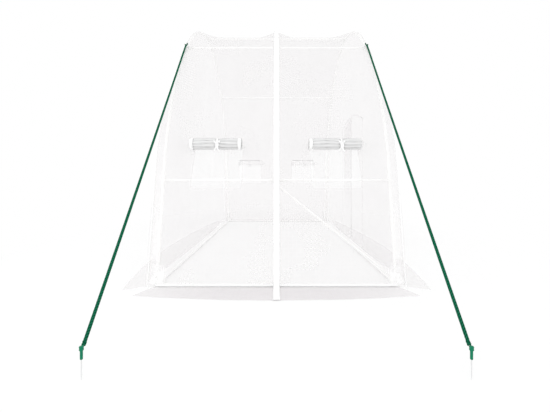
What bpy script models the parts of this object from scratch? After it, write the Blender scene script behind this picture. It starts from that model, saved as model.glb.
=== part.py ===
"""Walk-in tunnel greenhouse tent: a steel hoop frame in two bays under a clear film cover.

The ridge runs along X, the long near side faces -Y and Z is up. The ground is at Z = 0.
The cover drops between the hoops onto the straight bars, so it is flat in the middle of each bay.
"""

import math

import bmesh
import bpy
from mathutils import Matrix, Vector

# Frame, metres
BAY_LENGTH = 0.700
BASE_WIDTH = 3.000
WAIST_WIDTH = 2.760
WAIST_HEIGHT = 0.620
SHOULDER_WIDTH = 1.650
SHOULDER_HEIGHT = 1.650
RIDGE_HEIGHT = 2.055
HOOP_DIAMETER = 0.019
BAR_DIAMETER = 0.016
TUBE_SIDES = 10
BEND_STEPS = 6
SMOOTH_ANGLE = math.radians(40)

# Push-fit sockets that join the tubes
SOCKET_WALL = 0.0016
SOCKET_REACH = 0.042
SOCKET_STOP = 0.012
SOCKET_ROOT = 0.0020
CLEARANCE = 0.0003

# Diagonal brace in the right bay of the near wall
BRACE_DIAMETER = 0.014
BRACE_FOOT_HEIGHT = 0.038
BRACE_DROP = 0.026
BRACE_OVERHANG = 0.014
BRACE_CLIP_LENGTH = 0.022
BRACE_CLIP_LIP = 0.004

# Film cover
COVER_THICKNESS = 0.002
END_BULGE = 0.050
END_BULGE_RUN = 0.270
END_BULGE_STEPS = 3
DRAPE_STEPS = 3
TAPE_WIDTH = 0.038
TAPE_THICKNESS = 0.0012
PATCH_WIDTH = 0.070
PATCH_HEIGHT = 0.095
PATCH_THICKNESS = 0.001
PATCH_LIFT = 0.022

# Ground skirts, measured outwards from the hoops' feet
SKIRT_THICKNESS = 0.002
SIDE_SKIRT_MIDDLE = 0.237
SIDE_SKIRT_TIP = 0.164
END_SKIRT_MIDDLE = 0.290
END_SKIRT_TIP = 0.169
SKIRT_SKEW = 0.30
SKIRT_FLARE = 0.075
SKIRT_STEPS = 12

# Windows, one in each bay of both long walls
WINDOW_PLACE = 0.370
WINDOW_WIDTH = 0.305
WINDOW_SILL = 0.570
WINDOW_HEAD = 0.825
WINDOW_CORNER = 0.022
WINDOW_MARGIN = 0.020
NET_SEAM = 0.012
NET_THICKNESS = 0.001
NET_STRAND = 0.006
NET_COLUMNS = 5
NET_ROWS_ABOVE = 4
ROLL_DIAMETER = 0.078
ROLL_LENGTH = 0.330
ROLL_PINCH = 0.86
ROLL_SIDES = 10
ROLL_TAPER = 0.030
ROLL_SEAT = 0.005
TIE_WIDTH = 0.014
TIE_THICKNESS = 0.0012
TIE_INSET = 0.016
KNOT_SIZE = 0.018
BOW_LENGTH = 0.046
BOW_WIDTH = 0.016
BOW_NECK = 0.008
BOW_SIDES = 8

# Zipped double door in the right end wall
DOOR_WIDTH = 0.900
DOOR_HEIGHT = 1.250
DOOR_ARCH_RISE = 0.090
DOOR_ARCH_STEPS = 10
DOOR_GROUND_GAP = 0.006
ZIP_TAPE_WIDTH = 0.015
ZIP_TAPE_THICKNESS = 0.0012
SLIDER_WIDTH = 0.012
SLIDER_HEIGHT = 0.022
SLIDER_DEPTH = 0.005
SLIDER_ROUNDING = 0.0024
PULL_LENGTH = 0.030
PULL_WIDTH = 0.006
PULL_THICKNESS = 0.0016
PULL_SEAT = 0.007
EYE_WIDTH = 0.002
EYE_HEIGHT = 0.0025

# Guy ropes with their loops and pegs, on the near side
LOOP_DIAMETER = 0.030
LOOP_STRAP = 0.003
LOOP_WIDTH = 0.014
ROPE_DIAMETER = 0.0112
ROPE_SIDES = 8
ROPE_SAG = 0.004
ROPE_POINTS = 36
# Thickness along a knot: (distance from the rope's end, thickness), both in rope diameters
KNOT_SHAPE = ((0.0, 0.7), (0.35, 1.2), (0.8, 1.4), (1.5, 1.4), (2.0, 1.1))
PEG_X = 0.610
PEG_Y = 2.430
PEG_HEIGHT = 0.106
PEG_HEAD_HEIGHT = 0.042
PEG_HEAD_DIAMETER = 0.009
PEG_COLLAR_DIAMETER = 0.0147
PEG_COLLAR_HEIGHT = 0.012
PEG_SPIKE_DIAMETER = 0.004
PEG_POINT_LENGTH = 0.012
PEG_POINT_DIAMETER = 0.0005
PEG_BEVEL = 0.0012

# Worked out from the sizes above
HOOP_RADIUS = HOOP_DIAMETER / 2
BAR_RADIUS = BAR_DIAMETER / 2
ROUNDING = math.cos(math.pi / TUBE_SIDES)
HOOP_BORE = (HOOP_RADIUS + CLEARANCE) / ROUNDING
BAR_BORE = (BAR_RADIUS + CLEARANCE) / ROUNDING
HOOP_SOCKET = HOOP_BORE + SOCKET_WALL / ROUNDING
CLIP_BORE = (HOOP_SOCKET + CLEARANCE) / ROUNDING
CLIP_SIZE = CLIP_BORE + SOCKET_WALL / ROUNDING
BAR_SOCKET = BAR_BORE + SOCKET_WALL / ROUNDING
TUBE_END = SOCKET_STOP + CLEARANCE
HOOP_XS = {"left": -BAY_LENGTH, "middle": 0.0, "right": BAY_LENGTH}
SIDES = {"near": -1, "far": 1}
ENDS = {"left": -1, "right": 1}
BAY_MIDDLES = {"left": -BAY_LENGTH / 2, "right": BAY_LENGTH / 2}
WINDOW_MIDDLES = {"left": -WINDOW_PLACE, "right": WINDOW_PLACE}
FOOT = Vector((BASE_WIDTH / 2, BAR_SOCKET))
WAIST = Vector((WAIST_WIDTH / 2, WAIST_HEIGHT))
SHOULDER = Vector((SHOULDER_WIDTH / 2, SHOULDER_HEIGHT))
RIDGE = Vector((0.0, RIDGE_HEIGHT))
LEG_ANGLE = math.atan2(WAIST.y - FOOT.y, WAIST.x - FOOT.x)
LEAN = LEG_ANGLE - math.pi / 2
COVER_INSIDE = HOOP_SOCKET + CLEARANCE
COVER_OUTSIDE = COVER_INSIDE + COVER_THICKNESS
END_WALL_X = BAY_LENGTH + COVER_INSIDE
DOOR_X = END_WALL_X + END_BULGE
DOOR_HALF = DOOR_WIDTH / 2
END_RAIL_JOINTS = {"left": 0.0, "right": DOOR_HALF}
BELOW_GROUND = 0.020
GROUND_BLOCK = 4 * BASE_WIDTH

parts = None
cutters = None


def start_scene():
    """Empty the scene and make the two collections."""
    global parts, cutters
    for old in list(bpy.data.objects):
        bpy.data.objects.remove(old, do_unlink=True)
    parts = bpy.data.collections.new("Greenhouse tent")
    cutters = bpy.data.collections.new("Cutters")
    bpy.context.scene.collection.children.link(parts)
    bpy.context.scene.collection.children.link(cutters)


def material(name, colour, roughness, alpha=1.0):
    """One Principled material; the colour is linear."""
    found = bpy.data.materials.get(name)
    if found:
        return found
    made = bpy.data.materials.new(name)
    made.use_nodes = True
    shader = made.node_tree.nodes["Principled BSDF"]
    shader.inputs["Base Color"].default_value = (*colour, 1.0)
    shader.inputs["Roughness"].default_value = roughness
    shader.inputs["Metallic"].default_value = 0.0
    shader.inputs["Alpha"].default_value = alpha
    return made


def tube_steel():
    return material("White coated steel", (0.86, 0.86, 0.85), 0.35)


def film():
    return material("Clear ribbed film", (0.88, 0.90, 0.90), 0.30, alpha=0.45)


def white_tape():
    return material("White webbing", (0.90, 0.90, 0.90), 0.70)


def grey_roll():
    return material("Rolled film", (0.62, 0.63, 0.63), 0.55)


def insect_net():
    return material("Insect net", (0.92, 0.92, 0.92), 0.60)


def zip_plastic():
    return material("Zip plastic", (0.55, 0.56, 0.56), 0.45)


def green_rope():
    return material("Green guy rope", (0.008, 0.105, 0.055), 0.75)


def green_plastic():
    return material("Green peg plastic", (0.016, 0.240, 0.130), 0.40)


def unit(angle):
    """Unit vector in the hoop plane, (y, z)."""
    return Vector((math.cos(angle), math.sin(angle)))


def finish(name, bm, surface):
    """Turn a bmesh into a named part."""
    mesh = bpy.data.meshes.new(name)
    bm.to_mesh(mesh)
    bm.free()
    mesh.materials.append(surface)
    mesh.shade_smooth()
    mesh.set_sharp_from_angle(angle=SMOOTH_ANGLE)
    made = bpy.data.objects.new(name, mesh)
    parts.objects.link(made)
    return made


def cutter(name, bm):
    """Turn a bmesh into a cutter, which is never built."""
    mesh = bpy.data.meshes.new(name)
    bm.to_mesh(mesh)
    bm.free()
    made = bpy.data.objects.new(name, mesh)
    made.hide_render = True
    made.display_type = "WIRE"
    cutters.objects.link(made)
    return made


def combine(target, tool, operation="DIFFERENCE", overlapping=False, solver="EXACT"):
    """Boolean with a hidden tool; overlapping says that either mesh holds shapes that overlap."""
    modifier = target.modifiers.new(operation.title() + " " + tool.name, "BOOLEAN")
    modifier.operation = operation
    modifier.solver = solver
    modifier.use_self = overlapping
    modifier.object = tool


def thicken(target, thickness, outwards=1.0):
    modifier = target.modifiers.new("Thickness", "SOLIDIFY")
    modifier.thickness = thickness
    modifier.offset = outwards
    modifier.use_even_offset = True


def add_rod(bm, start, end, radius, sides=TUBE_SIDES, end_radius=None):
    """Closed cylinder or cone from start to end."""
    start = Vector(start)
    along = Vector(end) - start
    turn = along.to_track_quat("Z", "Y").to_matrix().to_4x4()
    place = Matrix.Translation(start + along / 2) @ turn
    tip = radius if end_radius is None else end_radius
    bmesh.ops.create_cone(
        bm, cap_ends=True, segments=sides, radius1=radius, radius2=tip,
        depth=along.length, matrix=place,
    )


def add_box(bm, low, high):
    low = Vector(low)
    size = Vector(high) - low
    place = Matrix.Translation(low + size / 2) @ Matrix.Diagonal((*size, 1.0))
    bmesh.ops.create_cube(bm, size=1.0, matrix=place)


def add_ring(bm, centre, axis, across, inner, outer, width, sides=TUBE_SIDES):
    """Flat band round an axis, a small rectangle spun through a full turn from across."""
    axis = Vector(axis)
    corners = ((inner, -1), (outer, -1), (outer, 1), (inner, 1))
    verts = [bm.verts.new(centre + across * r + axis * (s * width / 2)) for r, s in corners]
    edges = [bm.edges.new((verts[i], verts[(i + 1) % 4])) for i in range(4)]
    bmesh.ops.spin(
        bm, geom=verts + edges, cent=centre, axis=axis, angle=2 * math.pi,
        steps=sides, use_merge=True, use_duplicate=False,
    )


def recalculated(bm):
    """Weld what a spin or a union left open and turn the faces outwards."""
    bmesh.ops.remove_doubles(bm, verts=bm.verts, dist=1e-6)
    bmesh.ops.recalc_face_normals(bm, faces=bm.faces)
    return bm


def tube_curve(name, route, diameter, radii=None, sides=TUBE_SIDES):
    """Round tube along a route, as a curve with filled caps."""
    curve = bpy.data.curves.new(name, "CURVE")
    curve.dimensions = "3D"
    curve.bevel_depth = diameter / 2
    curve.bevel_resolution = (sides - 4) // 2
    curve.use_fill_caps = True
    spline = curve.splines.new("POLY")
    spline.points.add(len(route) - 1)
    for index, point in enumerate(route):
        spline.points[index].co = (*point, 1.0)
        spline.points[index].radius = radii[index] if radii else 1.0
    return bpy.data.objects.new(name, curve)


def tube(name, route, diameter, surface, radii=None, sides=TUBE_SIDES):
    made = tube_curve(name, route, diameter, radii, sides)
    made.data.materials.append(surface)
    parts.objects.link(made)
    return made


def add_tube(bm, route, diameter, radii=None, sides=TUBE_SIDES):
    """Add a tube to a bmesh, its caps welded to its sides."""
    guide = tube_curve("tube guide", route, diameter, radii, sides)
    cutters.objects.link(guide)
    graph = bpy.context.evaluated_depsgraph_get()
    mesh = bpy.data.meshes.new_from_object(guide.evaluated_get(graph))
    bm.from_mesh(mesh)
    bmesh.ops.remove_doubles(bm, verts=bm.verts, dist=1e-6)
    curve = guide.data
    bpy.data.objects.remove(guide, do_unlink=True)
    bpy.data.curves.remove(curve)
    bpy.data.meshes.remove(mesh)


def plate(name, outline, lift, surface, base=(0, 0, 0)):
    """Flat outline made a face and pushed out by the lift vector."""
    bm = bmesh.new()
    verts = [bm.verts.new(Vector(point) - Vector(base)) for point in outline]
    face = bm.faces.new(verts)
    pushed = bmesh.ops.extrude_face_region(bm, geom=[face])
    moved = [item for item in pushed["geom"] if isinstance(item, bmesh.types.BMVert)]
    bmesh.ops.translate(bm, verts=moved, vec=lift)
    bmesh.ops.recalc_face_normals(bm, faces=bm.faces)
    made = finish(name, bm, surface)
    made.location = base
    return made


# The hoop's centre line, from the far side's foot up to the ridge, as (y, z) points
def bent_tube(start, start_angle, end):
    """Straight end, one round bend, straight end; returns the points and the angle at the end."""
    first = start + SOCKET_REACH * unit(start_angle)
    end_angle = start_angle
    for _ in range(40):
        last = end - SOCKET_REACH * unit(end_angle)
        chord = last - first
        end_angle = 2 * math.atan2(chord.y, chord.x) - start_angle
    turn = end_angle - start_angle
    radius = chord.length / (2 * math.sin(turn / 2))
    centre = first + radius * unit(start_angle + math.pi / 2)
    bend = [
        centre + radius * unit(start_angle - math.pi / 2 + turn * step / BEND_STEPS)
        for step in range(BEND_STEPS + 1)
    ]
    return [start.copy(), *bend, end.copy()], end_angle


BOW, SHOULDER_ANGLE = bent_tube(WAIST, LEG_ANGLE, SHOULDER)
CROWN, RIDGE_ANGLE = bent_tube(SHOULDER, SHOULDER_ANGLE, RIDGE)


def on_side(point, side, x):
    """A point of the far half, (y, z), placed at x on the near (-1) or far (1) side."""
    return Vector((x, side * point.x, point.y))


def offset_line(points, distance):
    """The line moved outwards by a distance, with mitred corners."""
    moved = []
    for index, point in enumerate(points):
        before = (point - points[index - 1]).normalized() if index else None
        after = (points[index + 1] - point).normalized() if index + 1 < len(points) else before
        before = before or after
        normal_before = Vector((-before.y, before.x))
        normal_after = Vector((-after.y, after.x))
        middle = (normal_before + normal_after).normalized()
        moved.append(point + middle * distance / middle.dot(normal_before))
    return moved


def hoop_line():
    """The whole hoop from the near foot over the ridge to the far foot, and its corners."""
    buried = FOOT - (FOOT.y + BELOW_GROUND) / math.cos(LEAN) * unit(LEG_ANGLE)
    half = [buried, *BOW, *CROWN[1:]]
    line = [Vector((-p.x, p.y)) for p in half] + half[-2::-1]
    last = len(line) - 1
    waist = 1
    shoulder = waist + len(BOW) - 1
    ridge = shoulder + len(CROWN) - 1
    corners = [0, waist, shoulder, ridge, last - shoulder, last - waist, last]
    return line, corners


LINE, CORNERS = hoop_line()


def drape_lines(distance):
    """At that distance outside the hoop's centre line: the hoop's line, and the taut line mid-bay."""
    hoop = offset_line(LINE, distance)
    taut_corners = offset_line([LINE[index] for index in CORNERS], distance)
    taut = []
    for span in range(len(CORNERS) - 1):
        first, last = CORNERS[span], CORNERS[span + 1]
        lengths = [(LINE[i + 1] - LINE[i]).length for i in range(first, last)]
        for step in range(last - first):
            share = sum(lengths[:step]) / sum(lengths)
            taut.append(taut_corners[span].lerp(taut_corners[span + 1], share))
    taut.append(taut_corners[-1])
    return hoop, taut


def wall_point(x, height, distance, side):
    """Point of the taut wall mid-bay at a height, at that distance from the bars' line."""
    corners = offset_line([LINE[index] for index in CORNERS], distance)
    low, high = (corners[0], corners[1]) if height <= corners[1].y else (corners[1], corners[2])
    share = (height - low.y) / (high.y - low.y)
    reach = -low.lerp(high, share).x
    return Vector((x, side * reach, height))


# Frame
def add_sockets(body, hollow, sleeves, open_arms):
    """Solid sleeves round the piece's own tube, and open arms with a bore for another's."""
    outer = {"hoop": HOOP_SOCKET, "bar": BAR_SOCKET}
    bore = {"hoop": HOOP_BORE, "bar": BAR_BORE}
    root = {"hoop": SOCKET_ROOT, "bar": BAR_SOCKET}
    arms = sleeves + open_arms
    for index, (point, way, size) in enumerate(arms):
        opposite = [i for i, (p, w, _) in enumerate(arms) if p == point and (w + way).length < 1e-4]
        if opposite and opposite[0] < index:
            continue
        back = SOCKET_REACH if opposite else root[size]
        add_rod(body, point - way * back, point + way * SOCKET_REACH, outer[size])
    for point, way, size in open_arms:
        mouth = point + way * (SOCKET_REACH + SOCKET_STOP)
        add_rod(hollow, point + way * SOCKET_STOP, mouth, bore[size])


def bar_arms(point, hoop):
    """The arms for the bars: the end hoops have one, towards the middle."""
    ways = {"left": (1,), "middle": (1, -1), "right": (-1,)}[hoop]
    return [(point, Vector((way, 0, 0)), "bar") for way in ways]


def finish_socketed(name, body, hollow):
    made = finish(name, body, tube_steel())
    combine(made, cutter(name + "_bores", hollow), overlapping=True)


def make_leg(hoop, x, side_name, side):
    """Straight leg with the foot joint that takes the ground rails."""
    body, hollow = bmesh.new(), bmesh.new()
    foot = on_side(FOOT, side, x)
    up = on_side(unit(LEG_ANGLE), side, 0)
    add_rod(body, foot, on_side(WAIST, side, x) - up * TUBE_END, HOOP_RADIUS)
    rails = bar_arms(foot, hoop)
    if hoop != "middle":
        rails.append((foot, Vector((0, -side, 0)), "bar"))
    add_sockets(body, hollow, [(foot, up, "hoop")], rails)
    finish_socketed(f"{hoop}_hoop_{side_name}_leg", body, hollow)


def make_bow(hoop, x, side_name, side):
    """Bent side tube with the waist joint that takes the leg and the bars."""
    body, hollow = bmesh.new(), bmesh.new()
    waist = on_side(WAIST, side, x)
    up = on_side(unit(LEG_ANGLE), side, 0)
    route = [*BOW[:-1], SHOULDER - TUBE_END * unit(SHOULDER_ANGLE)]
    add_tube(body, [on_side(p, side, x) for p in route], HOOP_DIAMETER)
    add_sockets(body, hollow, [(waist, up, "hoop")], [(waist, -up, "hoop"), *bar_arms(waist, hoop)])
    finish_socketed(f"{hoop}_hoop_{side_name}_bow", body, hollow)


def make_crown(hoop, x):
    """Both crown tubes, welded at the ridge joint, with the shoulder joints that take the bows."""
    body, hollow = bmesh.new(), bmesh.new()
    ridge = on_side(RIDGE, 1, x)
    half = [on_side(p, -1, x) for p in CROWN]
    add_tube(body, half + [on_side(p, 1, x) for p in CROWN[-2::-1]], HOOP_DIAMETER)
    sleeves, open_arms = [], bar_arms(ridge, hoop)
    for side in SIDES.values():
        shoulder = on_side(SHOULDER, side, x)
        up = on_side(unit(SHOULDER_ANGLE), side, 0)
        sleeves += [(ridge, -on_side(unit(RIDGE_ANGLE), side, 0), "hoop"), (shoulder, up, "hoop")]
        open_arms += [(shoulder, -up, "hoop"), *bar_arms(shoulder, hoop)]
    add_sockets(body, hollow, sleeves, open_arms)
    finish_socketed(f"{hoop}_hoop_crown", body, hollow)


def make_hoops():
    for hoop, x in HOOP_XS.items():
        for side_name, side in SIDES.items():
            make_leg(hoop, x, side_name, side)
            make_bow(hoop, x, side_name, side)
        make_crown(hoop, x)


def make_bars():
    """Straight bars and ground rails along X, one in each bay on each line."""
    lines = {"ridge_bar": on_side(RIDGE, 1, 0)}
    for side_name, side in SIDES.items():
        lines[f"{side_name}_shoulder_bar"] = on_side(SHOULDER, side, 0)
        lines[f"{side_name}_waist_bar"] = on_side(WAIST, side, 0)
        lines[f"{side_name}_ground_rail"] = on_side(FOOT, side, 0)
    for name, point in lines.items():
        for bay, middle in BAY_MIDDLES.items():
            half = Vector((BAY_LENGTH / 2 - TUBE_END, 0, 0))
            centre = point + Vector((middle, 0, 0))
            tube(f"{bay}_{name}", [centre - half, centre + half], BAR_DIAMETER, tube_steel())


def make_end_rails():
    """Ground rails across the ends, each in two tubes with a sleeve on the far one."""
    for end_name, end in ENDS.items():
        corner = on_side(FOOT, 1, end * BAY_LENGTH)
        joint = Vector((corner.x, END_RAIL_JOINTS[end_name], corner.z))
        towards_near = Vector((0, -1, 0))
        near_corner = Vector((corner.x, -corner.y, corner.z))
        ends = [near_corner - towards_near * TUBE_END, joint + towards_near * TUBE_END]
        tube(f"{end_name}_end_rail_near", ends, BAR_DIAMETER, tube_steel())
        body, hollow = bmesh.new(), bmesh.new()
        add_rod(body, joint, corner + towards_near * TUBE_END, BAR_RADIUS)
        add_sockets(body, hollow, [(joint, -towards_near, "bar")], [(joint, towards_near, "bar")])
        finish_socketed(f"{end_name}_end_rail_far", body, hollow)


def make_brace():
    """Diagonal tube behind two near legs, with open clips that snap on a joint's arm on each of them."""
    inwards = HOOP_SOCKET + CLEARANCE + BRACE_DIAMETER / 2
    leg_up = on_side(unit(LEG_ANGLE), -1, 0)
    inside = Vector((0, leg_up.z, -leg_up.y))

    def on_leg(x, height):
        along = (height - FOOT.y) / math.cos(LEAN)
        return on_side(FOOT, -1, x) + leg_up * along

    low = on_leg(BAY_LENGTH, BRACE_FOOT_HEIGHT)
    high = on_leg(0.0, WAIST_HEIGHT - BRACE_DROP)
    way = (high - low).normalized()
    body, hollow = bmesh.new(), bmesh.new()
    start = low + inside * inwards - way * BRACE_OVERHANG
    end = high + inside * inwards + way * BRACE_OVERHANG
    add_rod(body, start, end, BRACE_DIAMETER / 2)
    for grip in (low, high):
        half = leg_up * BRACE_CLIP_LENGTH / 2
        add_rod(body, grip - half, grip + half, CLIP_SIZE)
        add_rod(hollow, grip - half * 2, grip + half * 2, CLIP_BORE)
        mouth = grip - inside * (2 * CLIP_SIZE + BRACE_CLIP_LIP)
        add_rod(hollow, mouth - half * 2, mouth + half * 2, 2 * CLIP_SIZE)
    finish_socketed("near_diagonal_brace", body, hollow)


# Cover
def flat_half():
    """Half the length of the flat stretch in a bay's middle, which takes in the windows."""
    return WINDOW_WIDTH / 2 + WINDOW_MARGIN + abs(WINDOW_PLACE - BAY_LENGTH / 2)


def drape_share(x, middle):
    """How far the film has dropped from the hoop's line to the taut line, 0 to 1."""
    flat = flat_half()
    away = abs(x - middle)
    if away <= flat:
        return 1.0
    ramp = max(0.0, 1.0 - (away - flat) / (BAY_LENGTH / 2 - flat))
    return ramp * ramp * (3 - 2 * ramp)


def bay_stations(bay):
    """The x of each column of the film over a bay, from low to high."""
    middle = BAY_MIDDLES[bay]
    flat = flat_half()
    steps = [flat + (BAY_LENGTH / 2 - flat) * i / DRAPE_STEPS for i in range(DRAPE_STEPS)]
    seam = CLEARANCE / 2
    if bay == "left":
        ends = (-END_WALL_X + CLEARANCE, -BAY_LENGTH, -seam)
        low, high = list(ends[:2]), [ends[2]]
    else:
        ends = (seam, BAY_LENGTH, END_WALL_X - CLEARANCE)
        low, high = [ends[0]], list(ends[1:])
    return low + [middle - s for s in reversed(steps)] + [middle + s for s in steps] + high


def make_cover():
    hoop, taut = drape_lines(COVER_INSIDE)
    for bay in BAY_MIDDLES:
        xs = bay_stations(bay)
        columns, rows = len(xs) - 1, len(hoop) - 1
        bm = bmesh.new()
        bmesh.ops.create_grid(bm, x_segments=columns, y_segments=rows, size=0.5)
        for vert in bm.verts:
            column = round((vert.co.x + 0.5) * columns)
            row = round((vert.co.y + 0.5) * rows)
            share = drape_share(xs[column], BAY_MIDDLES[bay])
            point = hoop[row].lerp(taut[row], share)
            vert.co = (xs[column], point.x, point.y)
        made = finish(f"{bay}_bay_cover", bm, film())
        thicken(made, COVER_THICKNESS)
        combine(made, cutter(f"{bay}_bay_openings", cover_openings(bay)))
        combine(made, cutter(f"{bay}_bay_patches", patches(bay)), "UNION", solver="MANIFOLD")


def rounded_box(bm, low, high, radius):
    """Box whose edges along Y are rounded."""
    add_box(bm, low, high)
    edges = [
        e for e in bm.edges
        if abs(e.verts[0].co.x - e.verts[1].co.x) < 1e-9 and abs(e.verts[0].co.z - e.verts[1].co.z) < 1e-9
    ]
    bmesh.ops.bevel(
        bm, geom=edges, offset=radius, segments=3, profile=0.5, affect="EDGES", material=-1
    )


def cover_openings(bay):
    """The ground, and one rounded bar through the windows of both long walls."""
    bm = bmesh.new()
    middle = WINDOW_MIDDLES[bay]
    low = (middle - WINDOW_WIDTH / 2, -BASE_WIDTH, WINDOW_SILL)
    high = (middle + WINDOW_WIDTH / 2, BASE_WIDTH, WINDOW_HEAD)
    rounded_box(bm, low, high, WINDOW_CORNER)
    add_ground(bm)
    return bm


def bulge_rings():
    """Each ring of an end wall, as its share of the outline's size and its height."""
    rings = []
    for step in range(END_BULGE_STEPS + 1):
        part_way = step / END_BULGE_STEPS
        share = 1 - END_BULGE_RUN * part_way / wall_edge_at_ground()
        rings.append((share, END_BULGE * math.sin(math.pi / 2 * part_way)))
    return rings


def make_end_walls():
    """End walls drawn outwards from the hoop's line in rings, flat in the middle."""
    rings = bulge_rings()
    for end_name, end in ENDS.items():
        bm = bmesh.new()
        outline = offset_line(LINE, COVER_OUTSIDE)
        verts = [bm.verts.new((end * END_WALL_X, p.x, p.y)) for p in outline]
        ring = [bm.edges.new(pair) for pair in zip(verts, verts[1:])]
        for (share, height), (next_share, next_height) in zip(rings, rings[1:]):
            made = bmesh.ops.extrude_edge_only(bm, edges=ring)
            moved = [item for item in made["geom"] if isinstance(item, bmesh.types.BMVert)]
            ring = [
                item for item in made["geom"]
                if isinstance(item, bmesh.types.BMEdge) and all(vert in moved for vert in item.verts)
            ]
            ratio = next_share / share
            bmesh.ops.scale(bm, verts=moved, vec=(1, ratio, ratio))
            bmesh.ops.translate(bm, verts=moved, vec=(end * (next_height - height), 0, 0))
        ends = [v for v in moved if sum(e in ring for e in v.link_edges) == 1]
        bmesh.ops.edgeloop_fill(bm, edges=[*ring, bm.edges.new(ends)])
        bmesh.ops.recalc_face_normals(bm, faces=bm.faces)
        middle = max(bm.faces, key=lambda f: f.calc_area())
        if middle.normal.x * end < 0:
            bmesh.ops.reverse_faces(bm, faces=bm.faces)
        made = finish(f"{end_name}_end_wall", bm, film())
        thicken(made, COVER_THICKNESS)
        below = bmesh.new()
        add_ground(below)
        combine(made, cutter(f"{end_name}_wall_ground", below))
        if end > 0:
            combine(made, cutter("doorway", doorway_block()))


def arch_height(y, gap=0.0):
    """Top of the doorway at a distance y from its middle."""
    return DOOR_HEIGHT - gap - DOOR_ARCH_RISE * (y / DOOR_HALF) ** 2


def door_outline(start, end, bottom, gap):
    """Outline in (y, z) between two y's, with the arched top."""
    steps = max(2, round(DOOR_ARCH_STEPS * abs(end - start) / DOOR_WIDTH))
    ys = [start + (end - start) * step / steps for step in range(steps + 1)]
    return [(start, bottom), (end, bottom)] + [(y, arch_height(y, gap)) for y in reversed(ys)]


def doorway_block():
    bm = bmesh.new()
    outline = door_outline(-DOOR_HALF, DOOR_HALF, -BELOW_GROUND, 0.0)
    reach = END_BULGE / 2
    face = bm.faces.new([bm.verts.new((DOOR_X - reach, y, z)) for y, z in outline])
    pushed = bmesh.ops.extrude_face_region(bm, geom=[face])
    moved = [item for item in pushed["geom"] if isinstance(item, bmesh.types.BMVert)]
    bmesh.ops.translate(bm, verts=moved, vec=(2 * reach, 0, 0))
    bmesh.ops.recalc_face_normals(bm, faces=bm.faces)
    return bm


def make_door():
    """Two leaves that meet at the zip, hinged at their outer edges; each carries half of the zip."""
    outer_face = DOOR_X + COVER_THICKNESS
    leaves = {}
    for side_name, side in SIDES.items():
        hinge = Vector((outer_face, side * DOOR_HALF, 0.0))
        outline = door_outline(
            side * (DOOR_HALF - CLEARANCE), side * CLEARANCE / 2, DOOR_GROUND_GAP, CLEARANCE * 2
        )
        points = [(DOOR_X, y, z) for y, z in outline]
        leaf = plate(f"door_leaf_{side_name}", points, (COVER_THICKNESS, 0, 0), film(), hinge)
        tape = bmesh.new()
        ys = sorted((side * CLEARANCE / 2, side * ZIP_TAPE_WIDTH))
        top = arch_height(ZIP_TAPE_WIDTH) - ZIP_TAPE_WIDTH
        low = Vector((DOOR_X + COVER_THICKNESS / 2, ys[0], DOOR_GROUND_GAP))
        high = Vector((outer_face + ZIP_TAPE_THICKNESS, ys[1], top))
        add_box(tape, low, high)
        combine(leaf, cutter(f"zip_tape_{side_name}", tape), "UNION")
        leaves[side_name] = leaf
    make_slider(leaves["near"], outer_face + CLEARANCE + ZIP_TAPE_THICKNESS)


def ride_on(child, parent, place):
    """Put a piece at its parent's hinge and parent it there."""
    child.location = place
    child.parent = parent
    child.matrix_parent_inverse = Matrix.Translation(parent.location).inverted()


def make_slider(leaf, x):
    """Slider with its pull, on the near half of the zip."""
    middle = -(CLEARANCE + SLIDER_WIDTH / 2)
    bottom = DOOR_GROUND_GAP + PULL_LENGTH
    base = Vector((x, middle, bottom))
    body = bmesh.new()
    half = SLIDER_WIDTH / 2
    rounded_box(body, (0, -half, 0), (SLIDER_DEPTH, half, SLIDER_HEIGHT), SLIDER_ROUNDING)
    pull = PULL_WIDTH / 2
    back = SLIDER_DEPTH / 2
    drop = PULL_SEAT - PULL_LENGTH
    add_box(body, (back, -pull, drop), (back + PULL_THICKNESS, pull, PULL_SEAT))
    made = finish("zip_slider", body, zip_plastic())
    eye = bmesh.new()
    eye_low = drop + EYE_WIDTH
    add_box(eye, (-back, -EYE_WIDTH / 2, eye_low), (SLIDER_DEPTH, EYE_WIDTH / 2, eye_low + EYE_HEIGHT))
    combine(made, cutter("pull_eye", eye), overlapping=True)
    ride_on(made, leaf, base)


def make_tape():
    """White tape over the middle hoop, from the near skirt's edge to the far skirt's edge."""
    away = COVER_OUTSIDE + CLEARANCE * 2
    line = offset_line(LINE, away)
    on_ground = SKIRT_THICKNESS + CLEARANCE
    reach = FOOT.x + SIDE_SKIRT_MIDDLE
    foot, waist = line[0], line[1]
    share = (on_ground - foot.y) / (waist.y - foot.y)
    corner = foot.lerp(waist, share)
    half = [(-reach, on_ground), (corner.x, on_ground)]
    route = half + [tuple(p) for p in line[1:-1]] + [(-y, z) for y, z in reversed(half)]
    bm = bmesh.new()
    half_width = TAPE_WIDTH / 2
    verts = [bm.verts.new((-half_width, y, z)) for y, z in route]
    edges = [bm.edges.new(pair) for pair in zip(verts, verts[1:])]
    made = bmesh.ops.extrude_edge_only(bm, edges=edges)
    moved = [item for item in made["geom"] if isinstance(item, bmesh.types.BMVert)]
    bmesh.ops.translate(bm, verts=moved, vec=(TAPE_WIDTH, 0, 0))
    bmesh.ops.recalc_face_normals(bm, faces=bm.faces)
    top = max(bm.faces, key=lambda f: f.calc_center_median().z)
    top.normal_update()
    if top.normal.z < 0:
        bmesh.ops.reverse_faces(bm, faces=bm.faces)
    thicken(finish("middle_tape", bm, white_tape()), TAPE_THICKNESS)


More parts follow.
